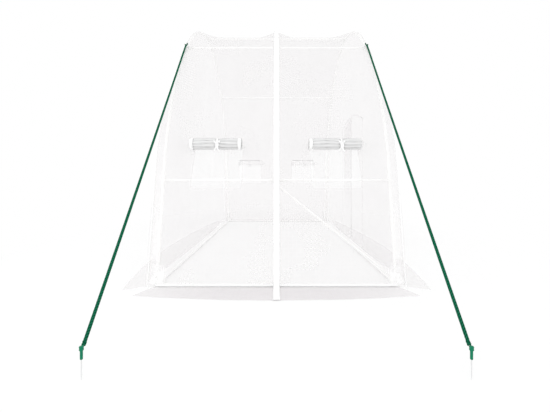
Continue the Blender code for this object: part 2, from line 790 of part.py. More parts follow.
def patches(bay):
    """Reinforcing patches at the bottom corners of a bay, standing proud of the film."""
    body = bmesh.new()
    deep = COVER_INSIDE + COVER_THICKNESS / 2
    proud = COVER_OUTSIDE + PATCH_THICKNESS
    for side in SIDES.values():
        up = on_side(unit(LEG_ANGLE), side, 0)
        out = Vector((0, side * up.z, -side * up.y))
        foot = on_side(FOOT, side, 0) + up * (PATCH_LIFT - FOOT.y) / up.z
        along = Vector((ENDS[bay], 0, 0))
        turn = Matrix((along, up, out)).transposed().to_4x4()
        edge = BAY_LENGTH + COVER_INSIDE - PATCH_THICKNESS
        centre = foot + along * (edge - PATCH_WIDTH / 2) + up * PATCH_HEIGHT / 2
        centre += out * (deep + proud) / 2
        size = Matrix.Diagonal((PATCH_WIDTH, PATCH_HEIGHT, proud - deep, 1.0))
        bmesh.ops.create_cube(body, size=1.0, matrix=Matrix.Translation(centre) @ turn @ size)
    bmesh.ops.recalc_face_normals(body, faces=body.faces)
    return body


# Skirts
def wall_edge_at_ground():
    """Half the width between the long walls' outer faces at the ground."""
    outside = offset_line(LINE, COVER_OUTSIDE)
    share = -outside[0].y / (outside[1].y - outside[0].y)
    return -outside[0].lerp(outside[1], share).x


def end_wall_foot():
    """Outer face of an end wall along the ground, as (x, y) from the near corner to the middle."""
    edge = wall_edge_at_ground()
    rings = bulge_rings()
    slope = math.hypot(1.0, rings[1][1] * END_BULGE_STEPS / END_BULGE_RUN)
    away = END_WALL_X + COVER_THICKNESS * slope + CLEARANCE
    return [(away + height, -edge * share) for share, height in rings]


def skirt_plate(name, outline):
    plate(name, [(x, y, 0.0) for x, y in outline], (0, 0, SKIRT_THICKNESS), film())


def skirt_reach(t, tip, middle, skew):
    """Outer edge of a skirt at t, from -1 at one tip to 1 at the other."""
    return tip + (middle - tip) * (1 - t * t) * (1 - skew * t)


def make_skirts():
    edge = wall_edge_at_ground() + CLEARANCE
    ts = [2 * step / SKIRT_STEPS - 1 for step in range(SKIRT_STEPS + 1)]
    for side_name, side in SIDES.items():
        half = BAY_LENGTH + COVER_INSIDE
        flare = BAY_LENGTH + SKIRT_FLARE
        outer = [
            (t * flare, side * (FOOT.x + skirt_reach(t, SIDE_SKIRT_TIP, SIDE_SKIRT_MIDDLE, 0))) for t in ts
        ]
        skirt_plate(f"{side_name}_skirt", [(half, side * edge), (-half, side * edge), *outer])
    for end_name, end in ENDS.items():
        inner = end_wall_foot()
        inner = inner + [(x, -y) for x, y in reversed(inner)]
        flare = FOOT.x + SKIRT_FLARE
        outer = [
            (BAY_LENGTH + skirt_reach(t, END_SKIRT_TIP, END_SKIRT_MIDDLE, SKIRT_SKEW), t * flare) for t in ts
        ]
        outline = [(end * x, y) for x, y in [*inner, *reversed(outer)]]
        skirt_plate(f"{end_name}_skirt", outline)


# Windows
def make_nets():
    half = WINDOW_WIDTH / 2 + NET_SEAM
    sill = WINDOW_SILL - NET_SEAM
    head = WINDOW_HEAD + NET_SEAM
    away = COVER_INSIDE - CLEARANCE * 2 - NET_THICKNESS
    crease = offset_line([LINE[index] for index in CORNERS], away)[1].y
    above = [crease + (head - crease) * row / NET_ROWS_ABOVE for row in range(NET_ROWS_ABOVE + 1)]
    heights = [sill, *above]
    rows = len(heights) - 1
    for side_name, side in SIDES.items():
        for bay, middle in WINDOW_MIDDLES.items():
            bm = bmesh.new()
            bmesh.ops.create_grid(bm, x_segments=NET_COLUMNS, y_segments=rows, size=0.5)
            for vert in bm.verts:
                x = middle + 2 * half * vert.co.x
                row = round((vert.co.y + 0.5) * rows)
                vert.co = wall_point(x, heights[row], away, side)
            if side > 0:
                bmesh.ops.reverse_faces(bm, faces=bm.faces)
            bm.normal_update()
            cells = bm.faces[:]
            bmesh.ops.inset_individual(bm, faces=cells, thickness=NET_STRAND / 2, use_even_offset=True)
            bmesh.ops.delete(bm, geom=cells, context="FACES")
            thicken(finish(f"{bay}_{side_name}_window_net", bm, insect_net()), NET_THICKNESS)


def roll_seat(middle, side):
    """Point of the wall just above a window's head where the rolled flap rests, and the way out."""
    seat = wall_point(middle, WINDOW_HEAD + ROLL_SEAT, COVER_OUTSIDE + CLEARANCE, side)
    above = wall_point(middle, SHOULDER_HEIGHT, COVER_OUTSIDE + CLEARANCE, side)
    up = (above - seat).normalized()
    return seat, Vector((0, side * up.z, -side * up.y))


def tie_places():
    """The x of the three ties along a roll, from its middle."""
    outer = ROLL_LENGTH / 2 - TIE_INSET
    return (-outer, 0.0, outer)


def make_rolls():
    """Window flaps rolled up above their openings, drawn in at the ties."""
    half = ROLL_LENGTH / 2
    grip = TIE_WIDTH / 2 + CLEARANCE
    stations = [(-half, ROLL_PINCH)]
    for place in tie_places():
        stations += [(place - grip, ROLL_PINCH), (place + grip, ROLL_PINCH)]
        if place < tie_places()[-1]:
            next_place = place + half - TIE_INSET
            stations += [(place + ROLL_TAPER, 1.0), (next_place - ROLL_TAPER, 1.0)]
    stations.append((half, ROLL_PINCH))
    for side_name, side in SIDES.items():
        for bay, middle in WINDOW_MIDDLES.items():
            name = f"{bay}_{side_name}_window_roll"
            seat, out = roll_seat(middle, side)
            route = [Vector((x, 0, 0)) for x, _ in stations]
            body = bmesh.new()
            add_tube(body, route, ROLL_DIAMETER, [radius for _, radius in stations], ROLL_SIDES)
            axis = seat + out * max(-vert.co.dot(out) for vert in body.verts)
            bmesh.ops.translate(body, verts=body.verts, vec=axis)
            made = finish(name, body, grey_roll())
            combine(made, cutter(name + "_ties", ties(axis, side)), "UNION", overlapping=True)


def ties(axis, side):
    """Bands round a roll, the middle one tied in a bow in front."""
    body = bmesh.new()
    pinched = ROLL_DIAMETER / 2 * ROLL_PINCH
    outer = pinched + TIE_THICKNESS
    for place in tie_places():
        centre = axis + Vector((place, 0, 0))
        inner = pinched - TIE_THICKNESS * 2
        add_ring(body, centre, (1, 0, 0), Vector((0, 0, 1)), inner, outer, TIE_WIDTH, ROLL_SIDES)
    recalculated(body)
    knot = axis + Vector((0, side * (outer + KNOT_SIZE / 2 - TIE_THICKNESS), 0))
    size = Vector((KNOT_SIZE, KNOT_SIZE, KNOT_SIZE)) / 2
    add_box(body, knot - size, knot + size)
    for way in (-1, 1):
        reach = Vector((way * BOW_LENGTH, 0, -BOW_LENGTH / 2))
        add_rod(body, knot, knot + reach, BOW_NECK / 2, BOW_SIDES, BOW_WIDTH / 2)
    return body


# Guy ropes
def loop_centre(end):
    out = on_side(unit(SHOULDER_ANGLE - math.pi / 2), -1, 0)
    shoulder = on_side(SHOULDER, -1, end * BAY_LENGTH)
    return shoulder + out * (COVER_OUTSIDE + CLEARANCE + LOOP_DIAMETER / 2), out


def make_loops():
    """Webbing loops sewn over the near shoulders of the end hoops."""
    for end_name, end in ENDS.items():
        body = bmesh.new()
        centre, out = loop_centre(end)
        outer = LOOP_DIAMETER / 2
        add_ring(body, centre, (1, 0, 0), out, outer - LOOP_STRAP, outer, LOOP_WIDTH)
        finish(f"guy_loop_{end_name}", recalculated(body), white_tape())


def make_ropes():
    """Taut ropes from the loops to the pegs, with a knot at each end."""
    tip = ROPE_DIAMETER / 2 * KNOT_SHAPE[0][1]
    for end_name, end in ENDS.items():
        centre, _ = loop_centre(end)
        peg = Vector((end * PEG_X, -PEG_Y, PEG_HEIGHT - PEG_COLLAR_HEIGHT / 2))
        down = (peg - centre).normalized()
        top = centre + down * (LOOP_DIAMETER / 2 * ROUNDING + CLEARANCE * 2)
        reach = PEG_COLLAR_DIAMETER / 2 + CLEARANCE * 2 - tip * down.z
        bottom = peg + Vector((0, reach, 0))
        points = []
        for index in range(ROPE_POINTS):
            share = index / (ROPE_POINTS - 1)
            point = top.lerp(bottom, share)
            point.z -= 4 * ROPE_SAG * share * (1 - share)
            points.append(point)
        way = (points[1] - points[0]).normalized()
        head = [points[0] + way * ROPE_DIAMETER * distance for distance, _ in KNOT_SHAPE]
        tail = [points[-1] - way * ROPE_DIAMETER * distance for distance, _ in reversed(KNOT_SHAPE)]
        sizes = [thickness for _, thickness in KNOT_SHAPE]
        route = head + points[1:-1] + tail
        radii = sizes + [1.0] * (ROPE_POINTS - 2) + sizes[::-1]
        tube(f"guy_rope_{end_name}", route, ROPE_DIAMETER, green_rope(), radii, ROPE_SIDES)


def make_pegs():
    """Pegs with a moulded head on a pointed spike, standing whole on the ground."""
    neck = PEG_HEAD_DIAMETER / 2
    collar = PEG_COLLAR_DIAMETER / 2
    spike = PEG_SPIKE_DIAMETER / 2
    shaft = PEG_HEIGHT - PEG_HEAD_HEIGHT
    under = PEG_HEIGHT - PEG_COLLAR_HEIGHT
    profile = [
        (PEG_POINT_DIAMETER / 2, 0.0), (spike, PEG_POINT_LENGTH), (spike, shaft),
        (neck - PEG_BEVEL, shaft), (neck, shaft + PEG_BEVEL), (neck, under - collar + neck),
        (collar, under), (collar, PEG_HEIGHT - PEG_BEVEL), (collar - PEG_BEVEL, PEG_HEIGHT),
    ]
    for end_name, end in ENDS.items():
        bm = bmesh.new()
        turned(bm, Vector((end * PEG_X, -PEG_Y, 0.0)), profile)
        finish(f"peg_{end_name}", bm, green_plastic())


def turned(bm, foot, profile):
    """Solid of revolution about the vertical through foot; the profile is (radius, height) upwards."""
    verts = [bm.verts.new(foot + Vector((r, 0, h))) for r, h in profile]
    edges = [bm.edges.new(pair) for pair in zip(verts, verts[1:])]
    bmesh.ops.spin(
        bm, geom=verts + edges, cent=foot, axis=(0, 0, 1), angle=2 * math.pi,
        steps=TUBE_SIDES, use_merge=True, use_duplicate=False,
    )
    bmesh.ops.remove_doubles(bm, verts=bm.verts, dist=1e-7)
    bmesh.ops.holes_fill(bm, edges=[e for e in bm.edges if e.is_boundary], sides=0)
    bmesh.ops.recalc_face_normals(bm, faces=bm.faces)


def add_ground(bm):
    half = GROUND_BLOCK / 2
    add_box(bm, (-half, -half, -half), (half, half, 0.0))


def main():
    start_scene()
    make_hoops()
    make_bars()
    make_end_rails()
    make_brace()
    make_cover()
    make_end_walls()
    make_door()
    make_tape()
    make_skirts()
    make_nets()
    make_rolls()
    make_loops()
    make_ropes()
    make_pegs()


main()
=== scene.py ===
"""Walk-in tunnel greenhouse tent: film cover, windows, door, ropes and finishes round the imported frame."""

import math

import bmesh
import bpy
from bpy.props import FloatProperty, FloatVectorProperty, IntProperty, PointerProperty
from mathutils import Matrix, Vector, noise


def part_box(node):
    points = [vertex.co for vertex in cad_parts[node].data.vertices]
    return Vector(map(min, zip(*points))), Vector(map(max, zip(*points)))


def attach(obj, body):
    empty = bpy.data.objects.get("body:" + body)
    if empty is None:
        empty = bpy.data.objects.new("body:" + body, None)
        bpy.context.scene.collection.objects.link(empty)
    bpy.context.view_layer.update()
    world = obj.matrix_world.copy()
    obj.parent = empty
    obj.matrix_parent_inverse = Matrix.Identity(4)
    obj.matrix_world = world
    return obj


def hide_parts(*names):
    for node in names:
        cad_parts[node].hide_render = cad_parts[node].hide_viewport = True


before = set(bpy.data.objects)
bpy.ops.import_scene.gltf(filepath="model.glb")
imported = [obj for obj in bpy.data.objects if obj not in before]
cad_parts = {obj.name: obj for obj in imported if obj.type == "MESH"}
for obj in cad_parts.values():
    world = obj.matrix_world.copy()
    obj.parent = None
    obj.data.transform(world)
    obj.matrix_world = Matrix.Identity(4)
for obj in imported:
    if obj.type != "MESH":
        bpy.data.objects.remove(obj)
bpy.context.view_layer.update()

bl_info = {
    "name": "Tunnel greenhouse tent",
    "version": (1, 0, 0),
    "blender": (4, 5, 0),
    "location": "3D View > Sidebar > Tent",
    "description": "Film, windows, door, guy ropes and finishes of a tunnel greenhouse tent",
    "category": "Object",
}

# Directions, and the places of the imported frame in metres
X, Y, Z = Vector((1, 0, 0)), Vector((0, 1, 0)), Vector((0, 0, 1))
SIDES = {"near": -1, "far": 1}
BAYS = {"left": -1, "right": 1}
# Each long wall of each bay: its name, its bay, and which way it lies along X and Y
WALLS = [(f"{bay}_{name}", bay, end, side) for bay, end in BAYS.items() for name, side in SIDES.items()]
BAY_LENGTH = 0.700
BAY_MIDDLE = BAY_LENGTH / 2
HOOPS = {"left": -BAY_LENGTH, "middle": 0.0, "right": BAY_LENGTH}
HOOP_RADIUS = 0.0095
BAR_RADIUS = 0.008
BRACE_RADIUS = 0.007
HOOP_SOCKET = 0.0119
BAR_SOCKET = 0.0103
SOCKET_REACH = 0.042
SOCKET_LIP = 0.006
TUBE_END = 0.012

# Film, metres
FILM_AWAY = 0.0133
END_X = BAY_LENGTH + FILM_AWAY
COVER_EDGE = BAY_LENGTH + 0.0116
FLAT_HALF = 0.1925
BULGE = 0.050
BULGE_RUN = 0.270
OVERHANG = 0.038
TAPE_WIDTH = 0.038
PATCH_WIDTH = 0.110
PATCH_HEIGHT = 0.150
LEG_BAND_WIDTH = 0.068
LEG_BAND_HEIGHT = 0.900
SKIRT_SPREAD = 0.075

# Windows and their rolls, metres from the middle hoop and the ground
WINDOW_X = 0.370
WINDOW_HALF = 0.1525
WINDOW_SILL = 0.570
WINDOW_HEAD = 0.825
WINDOW_CORNER = 0.022
NET_MARGIN = 0.011
ROLL_RADIUS = 0.0385
# Radius of the roll's middle turn, which gives the film's length
ROLL_LENGTH = 0.330
ROLL_TIE = 0.152
ROLL_SHIFT = {"left_near": -0.016}
BOW_SHIFT = {"left_near": 0.012, "right_near": 0.040, "left_far": -0.010, "right_far": 0.022}
# The roll without a tie at its right end
OPEN_ENDED_ROLL = "right_near"

# Door, metres
DOOR_HALF = 0.450
DOOR_HEIGHT = 1.250
DOOR_ARCH = 0.090
FLAP_WIDTH = 0.380
FLAP_FOOT = 0.260
FLAP_HEIGHT = 0.970
ZIP_TOP = 1.2349
ZIP_HALF = 0.015
TOOTH_PITCH = 0.005
HEM_WIDTH = 0.015

# Guy ropes, metres
ROPE = 0.0112
STRANDS = 3
STRAND_DEPTH = 0.12
ROPE_SAG = 0.004
PEG = Vector((0.610, -2.430, 0.0))
PEG_NECK = 0.0642
LOOP_RADIUS = 0.015


def middle(node):
    low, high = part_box(node)
    return (low + high) / 2


def profile_point(node):
    """(distance from the ridge's plane, height) of a bar that lies along X."""
    centre = middle(node)
    return Vector((abs(centre.y), centre.z))


FOOT = profile_point("left_near_ground_rail")
WAIST = profile_point("left_near_waist_bar")
SHOULDER = profile_point("left_near_shoulder_bar")
RIDGE = profile_point("left_ridge_bar")
# Height of the tent's long axis, which the outside of the film looks away from
AXIS_HEIGHT = 0.3


# The hoop's line in the far half, as (y, z) from the foot to the ridge
def unit(angle):
    return Vector((math.cos(angle), math.sin(angle)))


def bent_tube(start, start_angle, end, steps):
    """Straight end, one round bend, straight end; returns the points and the angle at the end."""
    first = start + SOCKET_REACH * unit(start_angle)
    end_angle = start_angle
    for _ in range(40):
        chord = end - SOCKET_REACH * unit(end_angle) - first
        end_angle = 2 * math.atan2(chord.y, chord.x) - start_angle
    turn = end_angle - start_angle
    radius = chord.length / (2 * math.sin(turn / 2))
    centre = first + radius * unit(start_angle + math.pi / 2)
    outwards = start_angle - math.pi / 2
    bend = [centre + radius * unit(outwards + turn * step / steps) for step in range(steps + 1)]
    return [start.copy(), *bend, end.copy()], end_angle


LEG_ANGLE = math.atan2(WAIST.y - FOOT.y, WAIST.x - FOOT.x)
BOW, SHOULDER_ANGLE = bent_tube(WAIST, LEG_ANGLE, SHOULDER, 14)
CROWN, RIDGE_ANGLE = bent_tube(SHOULDER, SHOULDER_ANGLE, RIDGE, 12)
GROUND_POINT = FOOT + (WAIST - FOOT) * (-FOOT.y / (WAIST.y - FOOT.y))
HALF_HOOP = [GROUND_POINT, *BOW, *CROWN[1:]]


def line_length(line):
    return sum((b - a).length for a, b in zip(line, line[1:]))


def along(line, share):
    """The point at a share of the line's length."""
    left = share * line_length(line)
    for a, b in zip(line, line[1:]):
        step = (b - a).length
        if left <= step or b is line[-1]:
            return a.lerp(b, min(1.0, left / step))
        left -= step


def resampled(line, count):
    return [along(line, step / (count - 1)) for step in range(count)]


def mirrored_line(half):
    """Near foot to ridge to far foot, from a line in the far half."""
    return [Vector((-p.x, p.y)) for p in half] + half[-2::-1]


def offset_half(distance, half=HALF_HOOP):
    """The far half moved outwards, with mitred corners, at the ridge too."""
    points = mirrored_line(half)
    moved = []
    for index, point in enumerate(points):
        before = (point - points[index - 1]).normalized() if index else None
        after = (points[index + 1] - point).normalized() if index + 1 < len(points) else before
        before = before or after
        normal = Vector((before.y, -before.x))
        out = (normal + Vector((after.y, -after.x))).normalized()
        moved.append(point - out * distance / out.dot(normal))
    return moved[len(moved) // 2:][::-1]


class Drape:
    """The film's place at one distance outside the hoop's line."""

    def __init__(self, distance):
        half = offset_half(distance)
        waist, shoulder = 1, len(BOW)
        self.hoop = [half[:waist + 1], half[waist:shoulder + 1], half[shoulder:]]
        corners = offset_half(distance, [GROUND_POINT, WAIST, SHOULDER, RIDGE])
        self.taut = [corners[i:i + 2] for i in range(3)]
        self.length = [line_length(line) for line in self.hoop]

    def point(self, span, share, drop):
        """On a span at its share, dropped from the hoop's line (0) to the taut line (1)."""
        return along(self.hoop[span], share).lerp(along(self.taut[span], share), drop)

    def wall(self, height):
        """Distance from the ridge's plane of the taut wall at a height."""
        for low, high in self.taut:
            if height <= high.y:
                return low.lerp(high, (height - low.y) / (high.y - low.y)).x
        return 0.0


def smooth_step(value):
    value = min(1.0, max(0.0, value))
    return value * value * (3 - 2 * value)


def overhang(height):
    """How far the film hangs out past an end hoop: loose down the walls, tight over the roof."""
    return OVERHANG * smooth_step((1.50 - height) / 0.65)


def drop_at(x, height=0.0):
    """How far the film has dropped at x: 0 at a hoop, 1 mid-bay; it hangs freer over the roof."""
    away = abs(abs(x) - BAY_MIDDLE)
    wall = smooth_step(1.0 - (away - FLAT_HALF) / (BAY_MIDDLE - FLAT_HALF))
    roof = max(0.0, 1.0 - (away / BAY_MIDDLE) ** 2)
    return wall + (roof - wall) * smooth_step((height - 1.15) / 0.5)


FILM = Drape(FILM_AWAY)
TOP = Drape(FILM_AWAY + 0.0012)
UNDER = Drape(FILM_AWAY - 0.0030)


def on_wall(x, height, side, drape):
    return Vector((x, side * drape.wall(height), height))


def on_side(point, side, x):
    return Vector((x, side * point.x, point.y))


# The end walls' edge as (y, z) from near to far, and the form inside it
END_EDGE = mirrored_line(offset_half(FILM_AWAY + 0.0005))
END_REACH = sorted((math.atan2(p.y, p.x), p.length) for p in END_EDGE)


def end_share(y, z):
    """0 in the middle of an end wall's foot, 1 at its edge."""
    point = Vector((y, z))
    if point.length < 1e-6:
        return 0.0
    angle = math.atan2(point.y, point.x)
    reach = END_REACH[0][1] if angle < END_REACH[0][0] else END_REACH[-1][1]
    for (a, r), (b, s) in zip(END_REACH, END_REACH[1:]):
        if a <= angle <= b:
            reach = r + (s - r) * (angle - a) / max(1e-9, b - a)
            break
    return point.length / reach


def end_bulge(y, z):
    """How far an end wall stands out of its edge's plane."""
    run = min(1.0, max(0.0, (1 - end_share(y, z)) * END_REACH[0][1] / BULGE_RUN))
    return BULGE * math.sin(math.pi / 2 * run)


def door_top(y):
    return DOOR_HEIGHT - DOOR_ARCH * (y / DOOR_HALF) ** 2


def door_edge(count):
    """Doorway outline as (y, z), from the near foot over the arch to the far foot."""
    ys = [-DOOR_HALF + 2 * DOOR_HALF * i / 24 for i in range(25)]
    arch = [Vector((y, door_top(y))) for y in ys]
    return resampled([Vector((-DOOR_HALF, 0.0)), *arch, Vector((DOOR_HALF, 0.0))], count)


# Sizes and colours that a user would change
def linear(value):
    """sRGB hex to linear red, green and blue."""
    parts = [int(value[i:i + 2], 16) / 255 for i in (1, 3, 5)]
    return tuple(c / 12.92 if c <= 0.04045 else ((c + 0.055) / 1.055) ** 2.4 for c in parts)


def length(name, description, value, low, high):
    return FloatProperty(name=name, description=description, default=value, min=low, max=high, unit="LENGTH")


def power(name, description, value):
    return FloatProperty(name=name, description=description, default=value, min=0.0, max=2000.0, unit="POWER")


def tint(name, description, value):
    return FloatVectorProperty(
        name=name, description=description, subtype="COLOR", size=3, min=0.0, max=1.0, default=linear(value)
    )


class TentSizes(bpy.types.PropertyGroup):
    """Sizes of the tent's soft and fine pieces."""

    wrinkle: length("Wrinkle depth", "How far the film's folds stand out of its plane", 0.0042, 0.0, 0.01)
    thread: length("Thread spacing", "Distance between the threads laid in the film", 0.012, 0.004, 0.04)
    net_cell: length("Net cell", "Size of a hole in the window nets, coarser than real to show", 0.006, 0.003, 0.02)
    net_strand: length("Net strand", "Thickness of a strand of the window nets", 0.0006, 0.0003, 0.002)
    rope_lay: length("Rope lay", "Length over which a strand of the rope goes once round", 0.030, 0.015, 0.08)
    roll_turns: FloatProperty(
        name="Roll turns", description="Turns of film in a rolled window flap", default=3.3, min=1.5, max=5.0
    )
    tube_sides: IntProperty(
        name="Tube sides", description="Sides of the frame's round tubes", default=24, min=8, max=48
    )


class TentColours(bpy.types.PropertyGroup):
    """Colours of the tent's materials."""

    film: tint("Film", "Film of the cover, door and skirts", "#E4E1E2")
    # Also painted shade: the long skirts are drawn in this darker film
    double: tint("Doubled film", "Film that lies in two layers", "#DCD8DA")
    coating: tint("Tube coating", "Powder coating of the steel tubes", "#FAFAF9")
    # Also the paler far rolls, where this white is painted backlight
    webbing: tint("Webbing", "Tape, straps and bindings", "#FBFBFB")
    roll: tint("Rolled film", "Film in many layers", "#F2F2F2")
    zip: tint("Zip", "Zip teeth and tape", "#E9EAEA")
    rope: tint("Rope", "Guy ropes", "#076043")
    peg: tint("Peg", "Moulded heads of the pegs", "#127C5B")
    zinc: tint("Zinc", "Plated steel of the peg spikes, rings and zip slider", "#EAEBEB")


class TentStage(bpy.types.PropertyGroup):
    """Floor, light and camera."""

    sky: FloatProperty(
        name="Sky strength", description="Brightness of the even light from all round",
        default=1.0, min=0.0, max=2.0,
    )
    key: power("Key strength", "Power of the large lamp above the near side", 50.0)
    side: power("Side strength", "Power of each lamp that faces an end wall", 34.0)
    lens: FloatProperty(
        name="Focal length", description="The camera's focal length", default=22.4, min=10.0, max=200.0,
        unit="CAMERA",
    )


# Making pieces
def new_cut():
    """A bmesh whose UV map is the flat cut, in metres."""
    bm = bmesh.new()
    bm.loops.layers.uv.new("cut")
    return bm


def finished(name, bm, looks, replaced=(), body="tent", smooth=True, thick=0.0, outwards=0.0):
    """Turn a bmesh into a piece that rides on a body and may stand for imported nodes."""
    mesh = bpy.data.meshes.new(name)
    bm.to_mesh(mesh)
    bm.free()
    for look in looks.split():
        mesh.materials.append(material(look))
    if smooth:
        mesh.shade_smooth()
        mesh.set_sharp_from_angle(angle=math.radians(50))
    piece = bpy.data.objects.new(name, mesh)
    bpy.context.scene.collection.objects.link(piece)
    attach(piece, body)
    if replaced:
        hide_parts(*replaced)
    if thick:
        modifier = piece.modifiers.new("Thickness", "SOLIDIFY")
        modifier.thickness = thick
        modifier.offset = outwards
        modifier.use_even_offset = True
    return piece


def from_axis(point):
    """Away from the tent's long axis."""
    return Vector((0.0, point.y, point.z - AXIS_HEIGHT))


def face_outwards(bm, out):
    """Turn every face over when most of them look against out, a direction or a function of the place."""
    bm.normal_update()
    score = 0.0
    for face in bm.faces:
        way = out(face.calc_center_median()) if callable(out) else out
        score += face.normal.dot(way) * face.calc_area()
    if score < 0:
        bmesh.ops.reverse_faces(bm, faces=bm.faces)


def laid_grid(columns, rows, place, out=None):
    """Grid whose points and flat cut place(u, v) gives, facing outwards."""
    bm = new_cut()
    bmesh.ops.create_grid(bm, x_segments=columns, y_segments=rows, size=0.5)
    flat = {}
    for vert in bm.verts:
        vert.co, flat[vert] = place(vert.co.x + 0.5, vert.co.y + 0.5)
    uv = bm.loops.layers.uv["cut"]
    for face in bm.faces:
        for loop in face.loops:
            loop[uv].uv = flat[loop.vert]
    bm.normal_update()
    if out:
        face_outwards(bm, out)
    return bm


def skin(bm, rows, width, closed=False):
    """Faces between rows of (verts, distance along the cut), each row as wide as the cut's width."""
    uv = bm.loops.layers.uv.verify()
    for (low, low_at), (high, high_at) in zip(rows, rows[1:]):
        count = len(low) if closed else len(low) - 1
        for i in range(count):
            after = (i + 1) % len(low)
            face = bm.faces.new((low[i], low[after], high[after], high[i]))
            cut = ((i, low_at), (i + 1, low_at), (i + 1, high_at), (i, high_at))
            for loop, (turn, at) in zip(face.loops, cut):
                loop[uv].uv = (width * turn / count, at)


def add_rod(bm, start, end, radius, sides):
    start = Vector(start)
    way = Vector(end) - start
    place = Matrix.Translation(start + way / 2) @ way.to_track_quat("Z", "Y").to_matrix().to_4x4()
    bmesh.ops.create_cone(
        bm, cap_ends=True, segments=sides, radius1=radius, radius2=radius, depth=way.length, matrix=place
    )


def add_box(bm, low, high):
    low = Vector(low)
    size = Vector(high) - low
    place = Matrix.Translation(low + size / 2) @ Matrix.Diagonal((*size, 1.0))
    return bmesh.ops.create_cube(bm, size=1.0, matrix=place)["verts"]


def add_tube(bm, route, radius, sides, caps=True, lay=0.0):
    """Tube along a route; with a lay its section is a bundle of strands that turns once a lay."""
    rows, travelled, across = [], 0.0, None
    for index, point in enumerate(route):
        back, ahead = route[max(0, index - 1)], route[min(len(route) - 1, index + 1)]
        way = (ahead - back).normalized()
        if across is None:
            across = way.orthogonal()
        across = (across - way * across.dot(way)).normalized()
        other = way.cross(across)
        if index:
            travelled += (point - back).length
        ring = []
        for side in range(sides):
            angle = 2 * math.pi * side / sides
            r = radius
            if lay:
                turned = angle - 2 * math.pi * travelled / lay
                r *= 1.0 - STRAND_DEPTH * (1 - abs(math.cos(turned * STRANDS / 2)))
            ring.append(bm.verts.new(point + across * (r * math.cos(angle)) + other * (r * math.sin(angle))))
        rows.append((ring, travelled))
    skin(bm, rows, 1.0, closed=True)
    if caps:
        bm.faces.new(list(reversed(rows[0][0])))
        bm.faces.new(rows[-1][0])


def ribbon(bm, route, across, width, segments=2):
    """Flat strap along a route, across that direction."""
    rows, travelled = [], 0.0
    for index, point in enumerate(route):
        if index:
            travelled += (point - route[index - 1]).length
        row = [bm.verts.new(point + across * width * (s / segments - 0.5)) for s in range(segments + 1)]
        rows.append((row, travelled))
    skin(bm, rows, width)


def strip(bm, rows):
    """Faces between rows of verts, left off the flat cut."""
    for low, high in zip(rows, rows[1:]):
        for i in range(len(low) - 1):
            bm.faces.new((low[i], low[i + 1], high[i + 1], high[i]))


def round_route(centre, first, second, steps, start=0.0, stop=2 * math.pi):
    """Points of an ellipse with these two half axes."""
    angles = [start + (stop - start) * step / steps for step in range(steps + 1)]
    return [centre + first * math.cos(angle) + second * math.sin(angle) for angle in angles]


def close_up(bm):
    bmesh.ops.remove_doubles(bm, verts=bm.verts, dist=1e-6)


# Materials
WHITE = (1.0, 1.0, 1.0, 1.0)
# Milky film scatters most light onwards, so it holds back less of it than it hides from the eye
FILM_SHADE = 0.20
# Share of a cell that a thread of the film takes up
THREAD_SHARE = 0.16


def add(tree, kind, inputs=(), out=0, **settings):
    """Add a node: a socket among its inputs is linked, any other is a value. Returns one output, or all for None."""
    node = tree.nodes.new("ShaderNode" + kind)
    for name, value in settings.items():
        setattr(node, name, value)
    for name, value in inputs.items() if isinstance(inputs, dict) else enumerate(inputs):
        if isinstance(value, bpy.types.NodeSocket):
            tree.links.new(value, node.inputs[name])
        else:
            node.inputs[name].default_value = value
    return node.outputs if out is None else node.outputs[out]


def new_material(name, shader, *values):
    """A material that shows what shader(tree, ...) gives."""
    made = bpy.data.materials.new(name)
    made.use_nodes = True
    tree = made.node_tree
    tree.nodes.clear()
    add(tree, "OutputMaterial", {"Surface": shader(tree, *values)}, out=None)
    return made


def colour(name):
    return (*getattr(bpy.context.scene.tent_colours, name), 1.0)


def dimmed(tint, share):
    return (*[c * share for c in tint[:3]], 1.0)


def cut_axes(tree):
    """The flat cut's X and Y, in metres."""
    return add(tree, "SeparateXYZ", [add(tree, "UVMap", uv_map="cut")], out=None)


def thread_grid(tree, spacing):
    """1 on threads laid both ways at a spacing in metres on the flat cut, 0 between them."""
    parts = cut_axes(tree)
    lines = []
    for axis in "XY":
        cells = add(tree, "Math", (parts[axis], 1 / spacing), operation="MULTIPLY")
        wave = add(tree, "Math", (cells, 1.0), operation="PINGPONG")
        lines.append(add(tree, "MapRange", (wave, THREAD_SHARE, THREAD_SHARE * 0.5, 0.0, 1.0)))
    return add(tree, "Math", lines, operation="MAXIMUM")


def faded_edges(tree, size):
    """1 in the middle of a cut of this size, falling at its edges to size's last number; a 0 leaves a way out."""
    parts = cut_axes(tree)
    sides = [1.0]
    for axis, width in zip("XY", size):
        if width:
            away = add(tree, "Math", (parts[axis], width / 2), operation="PINGPONG")
            sides.append(add(tree, "MapRange", (away, 0.0, width * 0.30, 0.0, 1.0)))
    faded = add(tree, "Math", (sides[-1], sides[-2]), operation="MULTIPLY")
    return add(tree, "MapRange", (faded, 0.0, 1.0, size[2], 1.0))


